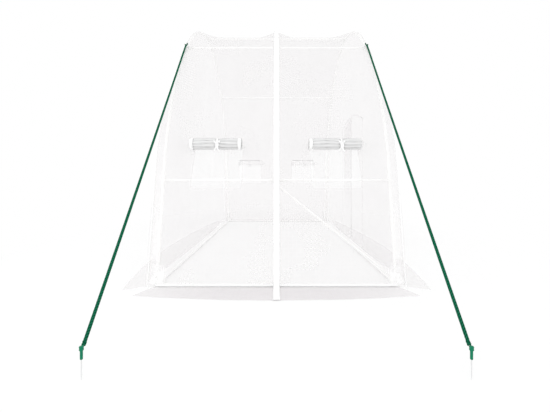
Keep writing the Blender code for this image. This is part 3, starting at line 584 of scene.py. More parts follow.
def film_shader(tree, tint, clear, thread_clear, soft=None):
    """Woven-reinforced polyethylene film: a milky see-through sheet with a faint square thread grid."""
    threads = thread_grid(tree, bpy.context.scene.tent_sizes.thread)
    place = add(tree, "TexCoord", out="Object")
    cloud = add(tree, "TexNoise", {"Vector": place, "Scale": 2.2, "Detail": 4.0, "Roughness": 0.6})
    haze = add(tree, "MapRange", (cloud, 0.3, 0.7, -0.035, 0.035))
    body = add(tree, "MapRange", (threads, 0.0, 1.0, clear, thread_clear))
    seen = add(tree, "Math", (body, haze), operation="ADD")
    if soft:
        seen = add(tree, "Math", (seen, faded_edges(tree, soft)), operation="MULTIPLY")
    path = add(tree, "LightPath", out=None)
    lit = add(tree, "Math", (path["Is Shadow Ray"], path["Is Diffuse Ray"]), operation="MAXIMUM")
    held_back = add(tree, "MapRange", (lit, 0.0, 1.0, 1.0, FILM_SHADE))
    return add(tree, "BsdfPrincipled", {
        "Base Color": add(tree, "Mix", {0: cloud, 6: dimmed(tint, 0.97), 7: tint}, out=2, data_type="RGBA"),
        "Roughness": 0.34,
        "Alpha": add(tree, "Math", (seen, held_back), operation="MULTIPLY"),
        "Normal": add(tree, "Bump", {"Height": threads, "Strength": 0.03, "Distance": 0.0003}),
        "IOR": 1.5,
    })


def plain_shader(tree, tint, dim, broad, fine, bump, rough, more):
    """Opaque surface, uneven by a broad noise and grained by a fine one.

    Its colour goes from the tint down to its dim share and its roughness over rough's two values, both by the broad
    noise. broad and fine are (scale, detail), bump is (strength, distance), and more holds further inputs.
    """
    place = add(tree, "TexCoord", out="Object")
    uneven, grain = (
        add(tree, "TexNoise", {"Vector": place, "Scale": scale, "Detail": detail}) for scale, detail in (broad, fine)
    )
    return add(tree, "BsdfPrincipled", {
        "Base Color": add(tree, "Mix", {0: uneven, 6: dimmed(tint, dim), 7: tint}, out=2, data_type="RGBA"),
        "Roughness": add(tree, "MapRange", (uneven, 0.3, 0.7, *rough)),
        "Normal": add(tree, "Bump", {"Height": grain, "Strength": bump[0], "Distance": bump[1]}),
        **more,
    })


def rope_shader(tree, tint):
    """Laid polypropylene rope: dark green strands of fine filaments, with painted shade between the strands and a
    painted highlight where they crown.
    """
    parts = cut_axes(tree)
    turn = add(tree, "Math", (parts["Y"], 1 / bpy.context.scene.tent_sizes.rope_lay), operation="MULTIPLY")
    phase = add(tree, "Math", (parts["X"], turn), operation="SUBTRACT")
    strand = add(tree, "Math", (phase, float(STRANDS)), operation="MULTIPLY")
    wave = add(tree, "Math", (strand, 0.5), operation="PINGPONG")
    crown = add(tree, "MapRange", (wave, 0.05, 0.42, 1.0, 0.0))
    fibre_place = add(tree, "CombineXYZ", (strand, turn))
    fibre = add(tree, "TexNoise", {"Vector": fibre_place, "Scale": 14.0, "Detail": 4.0})
    # Painted highlight: the filaments turn a paler green where the strands crown
    highlight_filaments = add(tree, "MapRange", (fibre, 0.35, 0.75, 0.0, 1.0))
    painted_crown_highlight = add(tree, "Math", (highlight_filaments, crown), operation="MULTIPLY")
    light = (*[min(1.0, c * 1.7 + 0.02) for c in tint[:3]], 1.0)
    # Painted shade: the green darkens to 0.42 of itself in the grooves between the strands
    body = add(tree, "Mix", {0: crown, 6: dimmed(tint, 0.42), 7: tint}, out=2, data_type="RGBA")
    return add(tree, "BsdfPrincipled", {
        "Base Color": add(tree, "Mix", {0: painted_crown_highlight, 6: body, 7: light}, out=2, data_type="RGBA"),
        "Roughness": 0.75,
        "Normal": add(tree, "Bump", {"Height": fibre, "Strength": 0.5, "Distance": 0.0006}),
        "IOR": 1.49,
        "Specular IOR Level": 0.04,
    })


def rolled_shader(tree, tint, shadow, onwards):
    """The same film in many layers: white, with darker lines where one turn lies on the next."""
    cut = add(tree, "UVMap", uv_map="cut")
    stretched = add(tree, "Mapping", {"Vector": cut, "Scale": (0.10, 1.0, 1.0)})
    lines = add(tree, "TexWave", {
        "Vector": stretched, "Scale": 58.0, "Distortion": 4.5, "Detail": 3.0, "Detail Scale": 0.8,
    }, out="Fac", bands_direction="Y")
    pressed = add(tree, "Mapping", {"Vector": cut, "Scale": (5.0, 330.0, 1.0)})
    creases = add(tree, "TexNoise", {"Vector": pressed, "Scale": 1.0, "Detail": 3.0})
    patches = add(tree, "TexNoise", {"Vector": cut, "Scale": 11.0, "Detail": 2.0})
    weight = add(tree, "MapRange", (patches, 0.38, 0.62, 0.0, 0.75))
    both = add(tree, "Math", (lines, creases), operation="ADD")
    sharp = add(tree, "MapRange", (both, 0.72, 1.28, 0.0, 1.0))
    banded = add(tree, "Math", (sharp, weight), operation="MAXIMUM")
    front = add(tree, "BsdfPrincipled", {
        "Base Color": add(tree, "Mix", {0: banded, 6: dimmed(tint, shadow), 7: tint}, out=2, data_type="RGBA"),
        "Roughness": 0.38,
        "Normal": add(tree, "Bump", {"Height": lines, "Strength": 0.4, "Distance": 0.0010}),
        "IOR": 1.5,
    })
    through = add(tree, "BsdfTranslucent", {"Color": (0.95, 0.95, 0.95, 1.0)})
    return add(tree, "MixShader", (onwards, front, through))


def zinc_shader(tree, tint):
    """Zinc plated steel wire: bright grey with a soft uneven gloss."""
    place = add(tree, "TexCoord", out="Object")
    patchy = add(tree, "TexNoise", {"Vector": place, "Scale": 160.0, "Detail": 3.0})
    rough = add(tree, "MapRange", (patchy, 0.3, 0.7, 0.25, 0.45))
    return add(tree, "BsdfPrincipled", {"Base Color": tint, "Metallic": 1.0, "Roughness": rough})


# The values of plain surfaces: matt weave, satin coating with a faint orange peel, and moulded plastic with a fine
# spark-eroded grain
WEAVE = (0.95, (156.25, 2.0), (156.25, 2.0), (0.3, 0.0005), (0.82, 0.82), {"IOR": 1.5, "Sheen Weight": 0.15})
COATING = (0.96, (9.0, 3.0), (260.0, 2.0), (0.12, 0.0004), (0.30, 0.42), {"IOR": 1.5})
MOULDED = (0.90, (30.0, 2.0), (420.0, 2.0), (0.15, 0.0003))
SOFT_GLOSS = {"IOR": 1.48, "Specular IOR Level": 0.30}
DULL_GLOSS = {"IOR": 1.48, "Specular IOR Level": 0.14}
# Where a patch fades out at its sides and upper end
PATCH_FADE = (PATCH_WIDTH, 2 * PATCH_HEIGHT, 0.0)
# Each look's material name, shader, colour and the shader's other values. For film these are how much it hides
# between and on its threads, and the size of a cut whose edges fade.
LOOKS = {
    # One layer of milky film, clearer in the taut end walls and greyer where it lies on the ground
    "cover": ("reinforced_film_cover", film_shader, "film", 0.28, 0.293),
    "end": ("reinforced_film_end", film_shader, "film", 0.20, 0.213),
    "skirt": ("reinforced_film_skirt", film_shader, "film", 0.38, 0.395),
    # Darker film: painted shade on the long skirts, nearly opaque on the ground, and a soft grey veil of two layers
    # beside the zip
    "double": ("doubled_film_skirt", film_shader, "double", 0.80, 0.82, (1.55, 0.0, 0.55)),
    "flap": ("zip_flap_film", film_shader, "double", 0.34, 0.36, (0.0, 1.6 * FLAP_HEIGHT, 0.0)),
    # Turned over and welded edges, which only just show as lines
    "hem": ("welded_film_hem", film_shader, "film", 0.10, 0.11),
    "band": ("doubled_film_band", film_shader, "webbing", 0.14, 0.15),
    # Brighter film at the corners, fading into the cover
    "leg_band": ("doubled_film_leg", film_shader, "webbing", 0.34, 0.35, PATCH_FADE),
    "patch": ("corner_patch_film", film_shader, "webbing", 0.62, 0.64, PATCH_FADE),
    # Polypropylene webbing and tape, and a fine net: matt white weave
    "webbing": ("white_webbing", plain_shader, "webbing", *WEAVE),
    "net": ("polyester_insect_net", plain_shader, "webbing", *WEAVE),
    # Satin white tubes, with sockets and zip in a slightly softer gloss, and the pegs' deep green heads
    "coating": ("powder_coated_steel", plain_shader, "coating", *COATING),
    "socket": ("white_socket_plastic", plain_shader, "coating", *MOULDED, (0.42, 0.42), SOFT_GLOSS),
    "zip": ("zip_plastic", plain_shader, "zip", *MOULDED, (0.42, 0.42), SOFT_GLOSS),
    "peg": ("green_peg_plastic", plain_shader, "peg", *MOULDED, (0.36, 0.36), DULL_GLOSS),
    "rope": ("laid_polypropylene_rope", rope_shader, "rope"),
    # Rolls whose turns show as grey lines, and on the far side paler ones in the webbing's white, whose brightness is
    # painted backlight seen through the tent
    "roll": ("rolled_film", rolled_shader, "roll", 0.68, 0.14),
    "roll_painted_backlight": ("loosely_rolled_film", rolled_shader, "webbing", 0.99, 0.0),
    "zinc": ("zinc_plated_steel", zinc_shader, "zinc"),
}
MADE = {}


def material(look):
    """Each material is made once, when a piece first needs it."""
    if look not in MADE:
        name, shader, tint_name, *values = LOOKS[look]
        MADE[look] = new_material(name, shader, colour(tint_name), *values)
    return MADE[look]


# Stage
def backdrop_rays(tree):
    """1 for rays that show the backdrop: from the camera, a reflection or through glass."""
    path = add(tree, "LightPath", out=None)
    first = add(tree, "Math", (path["Is Camera Ray"], path["Is Glossy Ray"]), operation="MAXIMUM")
    return add(tree, "Math", (first, path["Is Transmission Ray"]), operation="MAXIMUM")


def floor_shader(tree):
    """White studio floor that keeps a faint shadow near the tent and runs out to pure white."""
    paint = add(tree, "BsdfDiffuse", {"Color": (0.90, 0.90, 0.90, 1.0)})
    glow = add(tree, "Emission", {"Color": WHITE, "Strength": 1.0})
    place = add(tree, "TexCoord", out="Object")
    wide = add(tree, "Mapping", {"Vector": place, "Scale": (1.8, 1.0, 1.0)})
    away = add(tree, "VectorMath", [wide], out="Value", operation="LENGTH")
    glowing = add(tree, "MapRange", (away, 1.5, 4.0, 0.10, 1.0))
    share = add(tree, "Math", (backdrop_rays(tree), glowing), operation="MULTIPLY")
    return add(tree, "MixShader", (share, paint, glow))


class TENT_OT_stage(bpy.types.Operator):
    """Make the floor, the even light and the camera"""

    bl_idname = "tent.stage"
    bl_label = "Stage"

    def execute(self, context):
        scene, values = context.scene, context.scene.tent_stage
        scene.view_settings.view_transform = "Standard"
        lens = bpy.data.cameras.new("camera")
        lens.lens = values.lens
        lens.sensor_width = 36.0
        lens.shift_x = -0.0027
        lens.shift_y = -0.0500
        lens.clip_end = 200.0
        scene.camera = bpy.data.objects.new("camera", lens)
        scene.camera.location = (0.0, -3.5, 0.63)
        scene.camera.rotation_euler = (math.radians(90), 0.0, 0.0)
        scene.collection.objects.link(scene.camera)
        self.lamp(scene, "key_lamp", values.key, (-1.2, -6.0, 3.2))
        self.lamp(scene, "left_lamp", values.side, (-5.5, -1.6, 2.2))
        self.lamp(scene, "right_lamp", values.side, (5.5, -1.6, 2.2))
        self.even_sky(scene, values.sky)
        bm = bmesh.new()
        bmesh.ops.create_grid(bm, x_segments=2, y_segments=2, size=60.0)
        bmesh.ops.translate(bm, verts=bm.verts, vec=(0, 0, -0.0012))
        mesh = bpy.data.meshes.new("floor")
        bm.to_mesh(mesh)
        bm.free()
        mesh.materials.append(new_material("white_floor", floor_shader))
        floor = bpy.data.objects.new("floor", mesh)
        scene.collection.objects.link(floor)
        return {"FINISHED"}

    def lamp(self, scene, name, strength, place):
        """Large soft lamp turned to the tent's middle."""
        light = bpy.data.lights.new(name, "AREA")
        light.energy = strength
        light.shape = "RECTANGLE"
        light.size = 5.0
        light.size_y = 3.0
        lamp = bpy.data.objects.new(name, light)
        lamp.location = place
        lamp.rotation_euler = (Vector((0.0, 0.2, 0.8)) - lamp.location).to_track_quat("-Z", "Y").to_euler()
        scene.collection.objects.link(lamp)

    def even_sky(self, scene, strength):
        """Even light from all round, which a ray to the backdrop sees as pure white."""
        scene.world = bpy.data.worlds.new("even_sky")
        scene.world.use_nodes = True
        tree = scene.world.node_tree
        tree.nodes.clear()
        level = add(tree, "MapRange", (backdrop_rays(tree), 0.0, 1.0, strength, 1.0))
        back = add(tree, "Background", {"Color": WHITE, "Strength": level})
        add(tree, "OutputWorld", {"Surface": back}, out=None)


# Guy ropes
def rope_ends(name):
    """Middle of the rope's upper and lower end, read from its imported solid."""
    points = [vert.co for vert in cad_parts[f"guy_rope_{name}"].data.vertices]
    above = Vector((0, 0, 5))
    points.sort(key=lambda point: (point - above).length)
    return [sum(end, Vector()) / len(end) for end in (points[:8], points[-8:])]


class TENT_OT_ropes(bpy.types.Operator):
    """Lay the two green guy ropes, with their knots, from the shoulder loops to the pegs"""

    bl_idname = "tent.ropes"
    bl_label = "Guy ropes"

    def execute(self, context):
        steps = 420
        for name in BAYS:
            top, low = rope_ends(name)
            way = (low - top).normalized()
            start, stop = top + way * 0.004, low - way * 0.004
            route = [start.lerp(stop, step / steps) for step in range(steps + 1)]
            for step, point in enumerate(route):
                point.z -= 4 * ROPE_SAG * (step / steps) * (1 - step / steps)
            bm = new_cut()
            add_tube(bm, route, ROPE * 0.555, 18, lay=context.scene.tent_sizes.rope_lay)
            rope = finished(f"rope_{name}", bm, "rope", [f"guy_rope_{name}"])
            across = way.cross(X).normalized()
            knots = [
                self.knot(f"rope_knot_top_{name}", top + way * 0.0105, way),
                self.knot(f"rope_knot_peg_{name}", low - way * 0.0105, way),
                self.eye(f"rope_eye_{name}", top - way * 0.0120, way * 0.0160, X * 0.0160, 0.0032, "rope"),
                self.eye(f"peg_ring_{name}", low + way * 0.0020, way * 0.0070, across * 0.0070, 0.0012, "zinc"),
            ]
        return {"FINISHED"}

    def knot(self, name, place, way):
        """Turns of rope round itself, drawn tight."""
        across = way.orthogonal().normalized()
        other = way.cross(across)
        turns, steps = 2.6, 44
        route = []
        for step in range(steps + 1):
            share = step / steps
            angle = 2 * math.pi * turns * share
            swing = 0.0042 * (1 + 0.12 * math.sin(angle * 0.7))
            offset = across * (swing * math.cos(angle)) + other * (swing * math.sin(angle))
            route.append(place + way * (0.0115 * (share - 0.5)) + offset)
        bm = new_cut()
        add_tube(bm, route, 0.0027, 10)
        return finished(name, bm, "rope")

    def eye(self, name, centre, way, across, radius, look):
        """Oval ring of rope or wire, long in the first direction and narrower in the second."""
        bm = new_cut()
        add_tube(bm, round_route(centre, way, across * 0.62, 32), radius, 10, caps=False)
        close_up(bm)
        return finished(name, bm, look)


class TENT_OT_pegs(bpy.types.Operator):
    """Turn the pegs: a green moulded head on a pointed zinc plated spike"""

    bl_idname = "tent.pegs"
    bl_label = "Pegs"

    # (radius, height) from the point to the top
    profile = [
        (0.0003, 0.0), (0.0010, 0.004), (0.0019, 0.012), (0.0020, 0.062), (0.0020, PEG_NECK),
        (0.0034, PEG_NECK), (0.0044, 0.0654), (0.0045, 0.0700), (0.0042, 0.0712), (0.0045, 0.0724),
        (0.0045, 0.0890), (0.0052, 0.0920), (0.0072, 0.0945), (0.0073, 0.0955), (0.0066, 0.0975),
        (0.0066, 0.1005), (0.0073, 0.1025), (0.0072, 0.1042), (0.0060, 0.1056), (0.0030, 0.1060),
    ]

    def execute(self, context):
        for name, end in BAYS.items():
            foot = Vector((end * PEG.x, PEG.y, 0.0))
            bm = bmesh.new()
            verts = [bm.verts.new(foot + Vector((r, 0, h))) for r, h in self.profile]
            edges = [bm.edges.new(pair) for pair in zip(verts, verts[1:])]
            bmesh.ops.spin(
                bm, geom=verts + edges, cent=foot, axis=(0, 0, 1), angle=2 * math.pi, steps=28,
                use_merge=True, use_duplicate=False,
            )
            bmesh.ops.remove_doubles(bm, verts=bm.verts, dist=1e-7)
            bmesh.ops.holes_fill(bm, edges=[e for e in bm.edges if e.is_boundary], sides=0)
            bmesh.ops.recalc_face_normals(bm, faces=bm.faces)
            for face in bm.faces:
                face.material_index = 1 if face.calc_center_median().z < PEG_NECK else 0
            finished(f"guy_peg_{name}", bm, "peg zinc", [f"peg_{name}"])
        return {"FINISHED"}


class TENT_OT_loops(bpy.types.Operator):
    """Sew the webbing loops over the near shoulders of the end hoops"""

    bl_idname = "tent.loops"
    bl_label = "Rope loops"

    def execute(self, context):
        lean = SHOULDER_ANGLE - math.pi / 2
        out = Vector((0.0, -math.cos(lean), math.sin(lean)))
        down = X.cross(out)
        for name in BAYS:
            centre = middle(f"guy_loop_{name}")
            route = []
            for step in range(33):
                angle = 2 * math.pi * step / 32
                raised = math.cos(angle) * (LOOP_RADIUS - 0.0016)
                aside = math.sin(angle) * (1.0 + 0.10 * math.cos(angle)) * (LOOP_RADIUS - 0.0024)
                route.append(centre - out * raised + down * aside)
            bm = new_cut()
            ribbon(bm, route, X, 0.0135)
            close_up(bm)
            foot = centre - out * (LOOP_RADIUS - 0.0006)
            ribbon(bm, [foot + down * (0.010 * step) for step in range(-2, 3)], X, 0.0138)
            finished(f"rope_loop_{name}", bm, "webbing", [f"guy_loop_{name}"], thick=0.0012)
        return {"FINISHED"}


# Frame
def socket_arm(bm, point, way, radius, sides):
    """Moulded sleeve with a thicker mouth."""
    mouth = point + way * (SOCKET_REACH - SOCKET_LIP)
    add_rod(bm, point, mouth, radius, sides)
    add_rod(bm, mouth - way * 0.0002, point + way * SOCKET_REACH, radius + 0.0008, sides)


class TENT_OT_hoops(bpy.types.Operator):
    """Bend the three hoops, with their push-fit joints"""

    bl_idname = "tent.hoops"
    bl_label = "Hoops"

    def execute(self, context):
        sides = context.scene.tent_sizes.tube_sides
        line = mirrored_line([FOOT, *BOW, *CROWN[1:]])
        for hoop, x in HOOPS.items():
            bm = bmesh.new()
            add_tube(bm, [Vector((x, p.x, p.y)) for p in line], HOOP_RADIUS, sides)
            nodes = [f"{hoop}_hoop_crown"]
            nodes += [f"{hoop}_hoop_{side}_{part}" for side in SIDES for part in ("leg", "bow")]
            finished(f"hoop_tube_{hoop}", bm, "coating", nodes)
            self.joints(hoop, x, sides)
        return {"FINISHED"}

    def joints(self, hoop, x, sides):
        """All sleeves of a hoop's joints: along the hoop, to the bars, and at an end hoop to its end rail."""
        bm = bmesh.new()
        ways = {"left": (1,), "middle": (1, -1), "right": (-1,)}[hoop]
        ridge = on_side(RIDGE, 1, x)
        for side in SIDES.values():
            leg, top, crest = (on_side(unit(angle), side, 0) for angle in (LEG_ANGLE, SHOULDER_ANGLE, RIDGE_ANGLE))
            foot, waist, shoulder = (on_side(corner, side, x) for corner in (FOOT, WAIST, SHOULDER))
            arms = [(foot, leg), (waist, leg), (waist, -leg), (shoulder, top), (shoulder, -top), (ridge, -crest)]
            for point, way in arms:
                socket_arm(bm, point, way, HOOP_SOCKET, sides)
            for point in (foot, waist, shoulder) if side < 0 else (foot, waist, shoulder, ridge):
                for way in ways:
                    socket_arm(bm, point, X * way, BAR_SOCKET, sides)
            if hoop != "middle":
                socket_arm(bm, foot, -Y * side, BAR_SOCKET, sides)
        finished(f"hoop_joints_{hoop}", bm, "socket")


class TENT_OT_bars(bpy.types.Operator):
    """Lay the straight bars, ground rails and end rails between the joints"""

    bl_idname = "tent.bars"
    bl_label = "Bars and rails"

    def execute(self, context):
        sides = context.scene.tent_sizes.tube_sides
        half = X * (BAY_MIDDLE - TUBE_END)
        bars = [f"{side}_{bar}" for side in SIDES for bar in ("shoulder_bar", "waist_bar", "ground_rail")]
        for name in ["ridge_bar", *bars]:
            bm = bmesh.new()
            nodes = [f"{bay}_{name}" for bay in BAYS]
            for node in nodes:
                add_rod(bm, middle(node) - half, middle(node) + half, BAR_RADIUS, sides)
            finished(f"bars_{name}", bm, "coating", nodes)
        for bay, end in BAYS.items():
            bm = bmesh.new()
            x, z = end * BAY_LENGTH, FOOT.y
            split = 0.0 if bay == "left" else DOOR_HALF
            add_rod(bm, (x, -FOOT.x + TUBE_END, z), (x, FOOT.x - TUBE_END, z), BAR_RADIUS, sides)
            for way in (-1, 1):
                socket_arm(bm, Vector((x, split, z)), Y * way, BAR_SOCKET, sides)
            nodes = [f"{bay}_end_rail_{side}" for side in SIDES]
            finished(f"end_rail_{bay}", bm, "coating", nodes)
        self.brace(sides)
        return {"FINISHED"}

    def brace(self, sides):
        """Diagonal tube clipped behind two near legs."""
        up = on_side(unit(LEG_ANGLE), -1, 0)
        inside = Vector((0, up.z, -up.y))
        heights = {BAY_LENGTH: 0.038, 0.0: WAIST.y - 0.026}
        grips = [on_side(FOOT, -1, x) + up * ((height - FOOT.y) / up.z) for x, height in heights.items()]
        low, high = (grip + inside * (HOOP_SOCKET + 0.0073) for grip in grips)
        past = (high - low).normalized() * 0.014
        bm = bmesh.new()
        add_rod(bm, low - past, high + past, BRACE_RADIUS, sides)
        clip, turn = HOOP_RADIUS + 0.0038, 0.625 * math.pi
        for grip in grips:
            ribbon(bm, round_route(grip, inside * clip, X * clip, 16, -turn, turn), up, 0.022)
        finished("diagonal_brace", bm, "coating", ["near_diagonal_brace"])


# Film
def fold_depth(x, travelled, seed):
    """Soft creases of film that is stretched over tubes, from -1 to 1."""
    broad = noise.noise(Vector((x * 2.6, travelled * 2.2, seed)))
    long_fold = noise.noise(Vector((x * 9.0 + travelled * 3.0, travelled * 1.6, seed + 7.0)))
    cross = noise.noise(Vector((x * 5.0 - travelled * 6.0, x * 3.0, seed + 19.0)))
    return 0.9 * broad + 0.7 * long_fold + 0.4 * cross


def rows_of_cover():
    """(span, share) of each row of the cover's near half, with rows on the window's sill and head."""
    (foot, waist), (_, shoulder) = FILM.taut[:2]
    sill = (WINDOW_SILL - foot.y) / (waist.y - foot.y)
    head = (WINDOW_HEAD - waist.y) / (shoulder.y - waist.y)
    rows = [(0, sill * i / 24) for i in range(24)] + [(0, sill + (1 - sill) * i / 3) for i in range(3)]
    rows += [(1, head * i / 10) for i in range(10)] + [(1, head + (1 - head) * i / 38) for i in range(38)]
    return rows + [(2, i / 40) for i in range(41)]


def columns_of_bay(end):
    """The x of each column, with columns on the window's sides."""
    start, left, right = 0.0004, WINDOW_X - WINDOW_HALF, WINDOW_X + WINDOW_HALF
    xs = [start + (left - start) * i / 16 for i in range(16)]
    xs += [left + (right - left) * i / 22 for i in range(22)]
    xs += [right + (BAY_LENGTH - right) * i / 16 for i in range(17)]
    return [end * x for x in [*xs, COVER_EDGE]]


def calm(x, share, height):
    """0 where the film is held: at tubes, seams and the window; 1 in the free middle of a panel."""
    held = smooth_step(abs(x) / 0.06) * smooth_step((BAY_LENGTH - abs(x)) / 0.06)
    held *= smooth_step(share / 0.12) * smooth_step((1 - share) / 0.12)
    near_window = max(abs(abs(x) - WINDOW_X) - WINDOW_HALF, WINDOW_SILL - height, height - WINDOW_HEAD - 0.05)
    return held * smooth_step(near_window / 0.08)


def near_film(x, height, side):
    """Point just outside the draped film of a long wall, at x and about this height."""
    foot, waist = TOP.taut[0]
    span, share = 0, (height - foot.y) / (waist.y - foot.y)
    if share > 1.0:
        span, share = 1, (height - waist.y) / (SHOULDER.y - waist.y)
    return on_side(TOP.point(span, share, drop_at(x)), side, x)


class TENT_OT_cover(bpy.types.Operator):
    """Stretch the film over each bay, with its window openings, bindings and corner patches"""

    bl_idname = "tent.cover"
    bl_label = "Film cover"

    def execute(self, context):
        depth = context.scene.tent_sizes.wrinkle
        rows = rows_of_cover()
        last = len(rows) - 1
        lengths = [0.0, FILM.length[0], FILM.length[0] + FILM.length[1]]
        whole = 2 * (lengths[2] + FILM.length[2])
        for bay, end in BAYS.items():
            xs = columns_of_bay(end)
            seed = 15.5 * (end + 1)

            def place(u, v):
                column, row = round(u * (len(xs) - 1)), round(v * 2 * last)
                side = 1 if row > last else -1
                span, share = rows[2 * last - row if side > 0 else row]
                x = xs[column]
                at = FILM.point(span, share, drop_at(x, FILM.point(span, share, 0.5).y))
                if column == len(xs) - 1:
                    x += end * overhang(at.y)
                travelled = lengths[span] + share * FILM.length[span]
                free = calm(x, share, at.y)
                fold = fold_depth(x, side * travelled, seed) * depth * free
                at = at + Vector((at.x, at.y - AXIS_HEIGHT)).normalized() * (fold - 0.0005 * free)
                return on_side(at, side, x), (x, whole - travelled if side > 0 else travelled)

            bm = laid_grid(len(xs) - 1, 2 * last, place, from_axis)
            inside = []
            for face in bm.faces:
                centre = face.calc_center_median()
                if abs(centre.x - end * WINDOW_X) < WINDOW_HALF and WINDOW_SILL < centre.z < WINDOW_HEAD:
                    inside.append(face)
            bmesh.ops.delete(bm, geom=inside, context="FACES")
            piece = finished(f"film_cover_{bay}", bm, "cover", [f"{bay}_bay_cover"])
            for name, side in SIDES.items():
                self.binding(f"{bay}_{name}", end, side)
                self.patches(f"{bay}_{name}", end, side)
                self.bottom_band(f"{bay}_{name}", end, side)
        return {"FINISHED"}

    def outline(self, end, grow):
        """Rounded window outline as (x, z), with points along its upright sides."""
        half, radius = WINDOW_HALF + grow, WINDOW_CORNER + grow
        low, high = WINDOW_SILL - grow, WINDOW_HEAD + grow
        ups = [low + radius + (high - low - 2 * radius) * i / 8 for i in range(1, 8)]
        points = []
        for way_x, way_z, start in ((1, -1, -90), (1, 1, 0), (-1, 1, 90), (-1, -1, 180)):
            centre_x = end * WINDOW_X + way_x * (half - radius)
            centre_z = (high if way_z > 0 else low) - way_z * radius
            for step in range(7):
                angle = math.radians(start + 90 * step / 6)
                points.append((centre_x + radius * math.cos(angle), centre_z + radius * math.sin(angle)))
            if way_x != way_z:
                points += [(end * WINDOW_X + way_x * half, z) for z in ups[::way_x]]
        return points

    def binding(self, place, end, side):
        """The film turned over and welded round a window's edge."""
        bm = new_cut()
        edges = []
        for grow in (-0.0012, 0.0080):
            verts = [bm.verts.new(on_wall(x, z, side, TOP)) for x, z in self.outline(end, grow)]
            edges += [bm.edges.new((verts[i - 1], verts[i])) for i in range(len(verts))]
        bmesh.ops.bridge_loops(bm, edges=edges)
        face_outwards(bm, from_axis)
        finished(f"window_hem_{place}", bm, "hem")

    def patches(self, corner, end, side):
        """Reinforcing patch at a bottom corner, and the doubled film up the end hoop's leg."""
        foot = 0.018
        for kind, high, width, rows in (
            ("patch", PATCH_HEIGHT, PATCH_WIDTH, 10), ("leg_band", LEG_BAND_HEIGHT, LEG_BAND_WIDTH, 60),
        ):

            def place(u, v):
                x = end * (BAY_LENGTH + 0.0112 + OVERHANG - width * (1 - u))
                return near_film(x, foot + (high - foot) * v, side), (PATCH_WIDTH * u, PATCH_HEIGHT * (1 - v))

            bm = laid_grid(8, rows, place, from_axis)
            finished(f"corner_{kind}_{corner}", bm, kind)

    def bottom_band(self, corner, end, side):
        """White band sewn along the cover's bottom edge."""
        start, stop = 0.0006, BAY_LENGTH + 0.0100

        def place(u, v):
            x, height = end * (start + (stop - start) * u), 0.004 + 0.013 * v
            return near_film(x, height, side), (x, height)

        bm = laid_grid(40, 2, place, from_axis)
        finished(f"bottom_band_{corner}", bm, "webbing", thick=0.0008, outwards=1.0)


class TENT_OT_tape(bpy.types.Operator):
    """Run the white tape over the middle hoop, from one skirt's edge to the other's"""

    bl_idname = "tent.tape"
    bl_label = "Middle tape"

    def execute(self, context):
        on_ground = 0.0045
        line = [Vector((p.x, max(p.y, on_ground))) for p in offset_half(FILM_AWAY + 0.0024)]
        reach = FOOT.x + 0.236
        run = [Vector((reach - (reach - line[0].x) * i / 12, on_ground)) for i in range(12)]
        coarse, fine = run + line, []
        for a, b in zip(coarse, coarse[1:]):
            steps = max(1, round((b - a).length / 0.02))
            fine += [a.lerp(b, i / steps) for i in range(steps)]
        route = mirrored_line([*fine, line[-1]])
        bm = new_cut()
        ribbon(bm, [Vector((0, p.x, p.y)) for p in route], X, TAPE_WIDTH, 4)
        face_outwards(bm, from_axis)
        piece = finished("centre_tape", bm, "webbing", ["middle_tape"], thick=0.0012, outwards=1.0)
        return {"FINISHED"}


# End walls and door
class TENT_OT_ends(bpy.types.Operator):
    """Draw the bulging end walls, the right one round its doorway"""

    bl_idname = "tent.ends"
    bl_label = "End walls"

    def execute(self, context):
        depth = 1.2 * context.scene.tent_sizes.wrinkle
        columns, rows = 160, 44
        edge = resampled(END_EDGE, columns + 1)
        for bay, end in BAYS.items():
            if end > 0:
                inner = door_edge(columns + 1)
            else:
                inner = resampled([Vector((0, 0)), Vector((0, 0.95)), Vector((0, 0))], columns + 1)
            seed = 50.0 + end * 9

            def place(u, v):
                index = round(u * columns)
                flat = edge[index].lerp(inner[index], v)
                held = smooth_step(v / 0.25) * (smooth_step((1 - v) / 0.2) if end > 0 else 1.0)
                held *= smooth_step(flat.y / 0.08)
                x = END_X + end_bulge(flat.x, flat.y) + fold_depth(flat.x, flat.y, seed) * depth * held
                x += overhang(flat.y) * (1 - smooth_step(v / 0.35))
                return Vector((end * x, flat.x, flat.y)), (flat.x, flat.y)

            bm = laid_grid(columns, rows, place)
            bmesh.ops.remove_doubles(bm, verts=bm.verts, dist=1e-5)
            face_outwards(bm, X * end)
            piece = finished(f"film_end_{bay}", bm, "end", [f"{bay}_end_wall"])
            self.bottom_band(bay, end)
            self.seam(bay, end, edge)
        return {"FINISHED"}

    def bottom_band(self, bay, end):
        """Doubled film along the end wall's bottom edge."""
        reach, door = FOOT.x + FILM_AWAY - 0.004, DOOR_HALF + 0.018
        bm = new_cut()
        for start, stop in [(-reach, reach)] if end < 0 else [(-reach, -door), (door, reach)]:
            steps = round((stop - start) / 0.02)
            rows = []
            for height in (0.006, 0.020, 0.034, 0.048):
                wall = FILM.wall(height) - 0.002
                row = []
                for step in range(steps + 1):
                    y = max(-wall, min(wall, start + (stop - start) * step / steps))
                    loose = overhang(height) * (1 - smooth_step((1 - end_share(y, height)) / 0.35))
                    row.append(bm.verts.new((end * (END_X + end_bulge(y, height) + loose + 0.0016), y, height)))
                rows.append(row)
            strip(bm, rows)
        face_outwards(bm, X * end)
        finished(f"end_band_{bay}", bm, "band")

    def seam(self, bay, end, edge):
        """Folded seam where the end wall meets the cover."""
        bm = new_cut()
        route = [Vector((end * (BAY_LENGTH + 0.0128 + overhang(p.y)), p.x, p.y)) for p in edge]
        add_tube(bm, route, 0.0024, 8)
        finished(f"end_seam_{bay}", bm, "webbing")


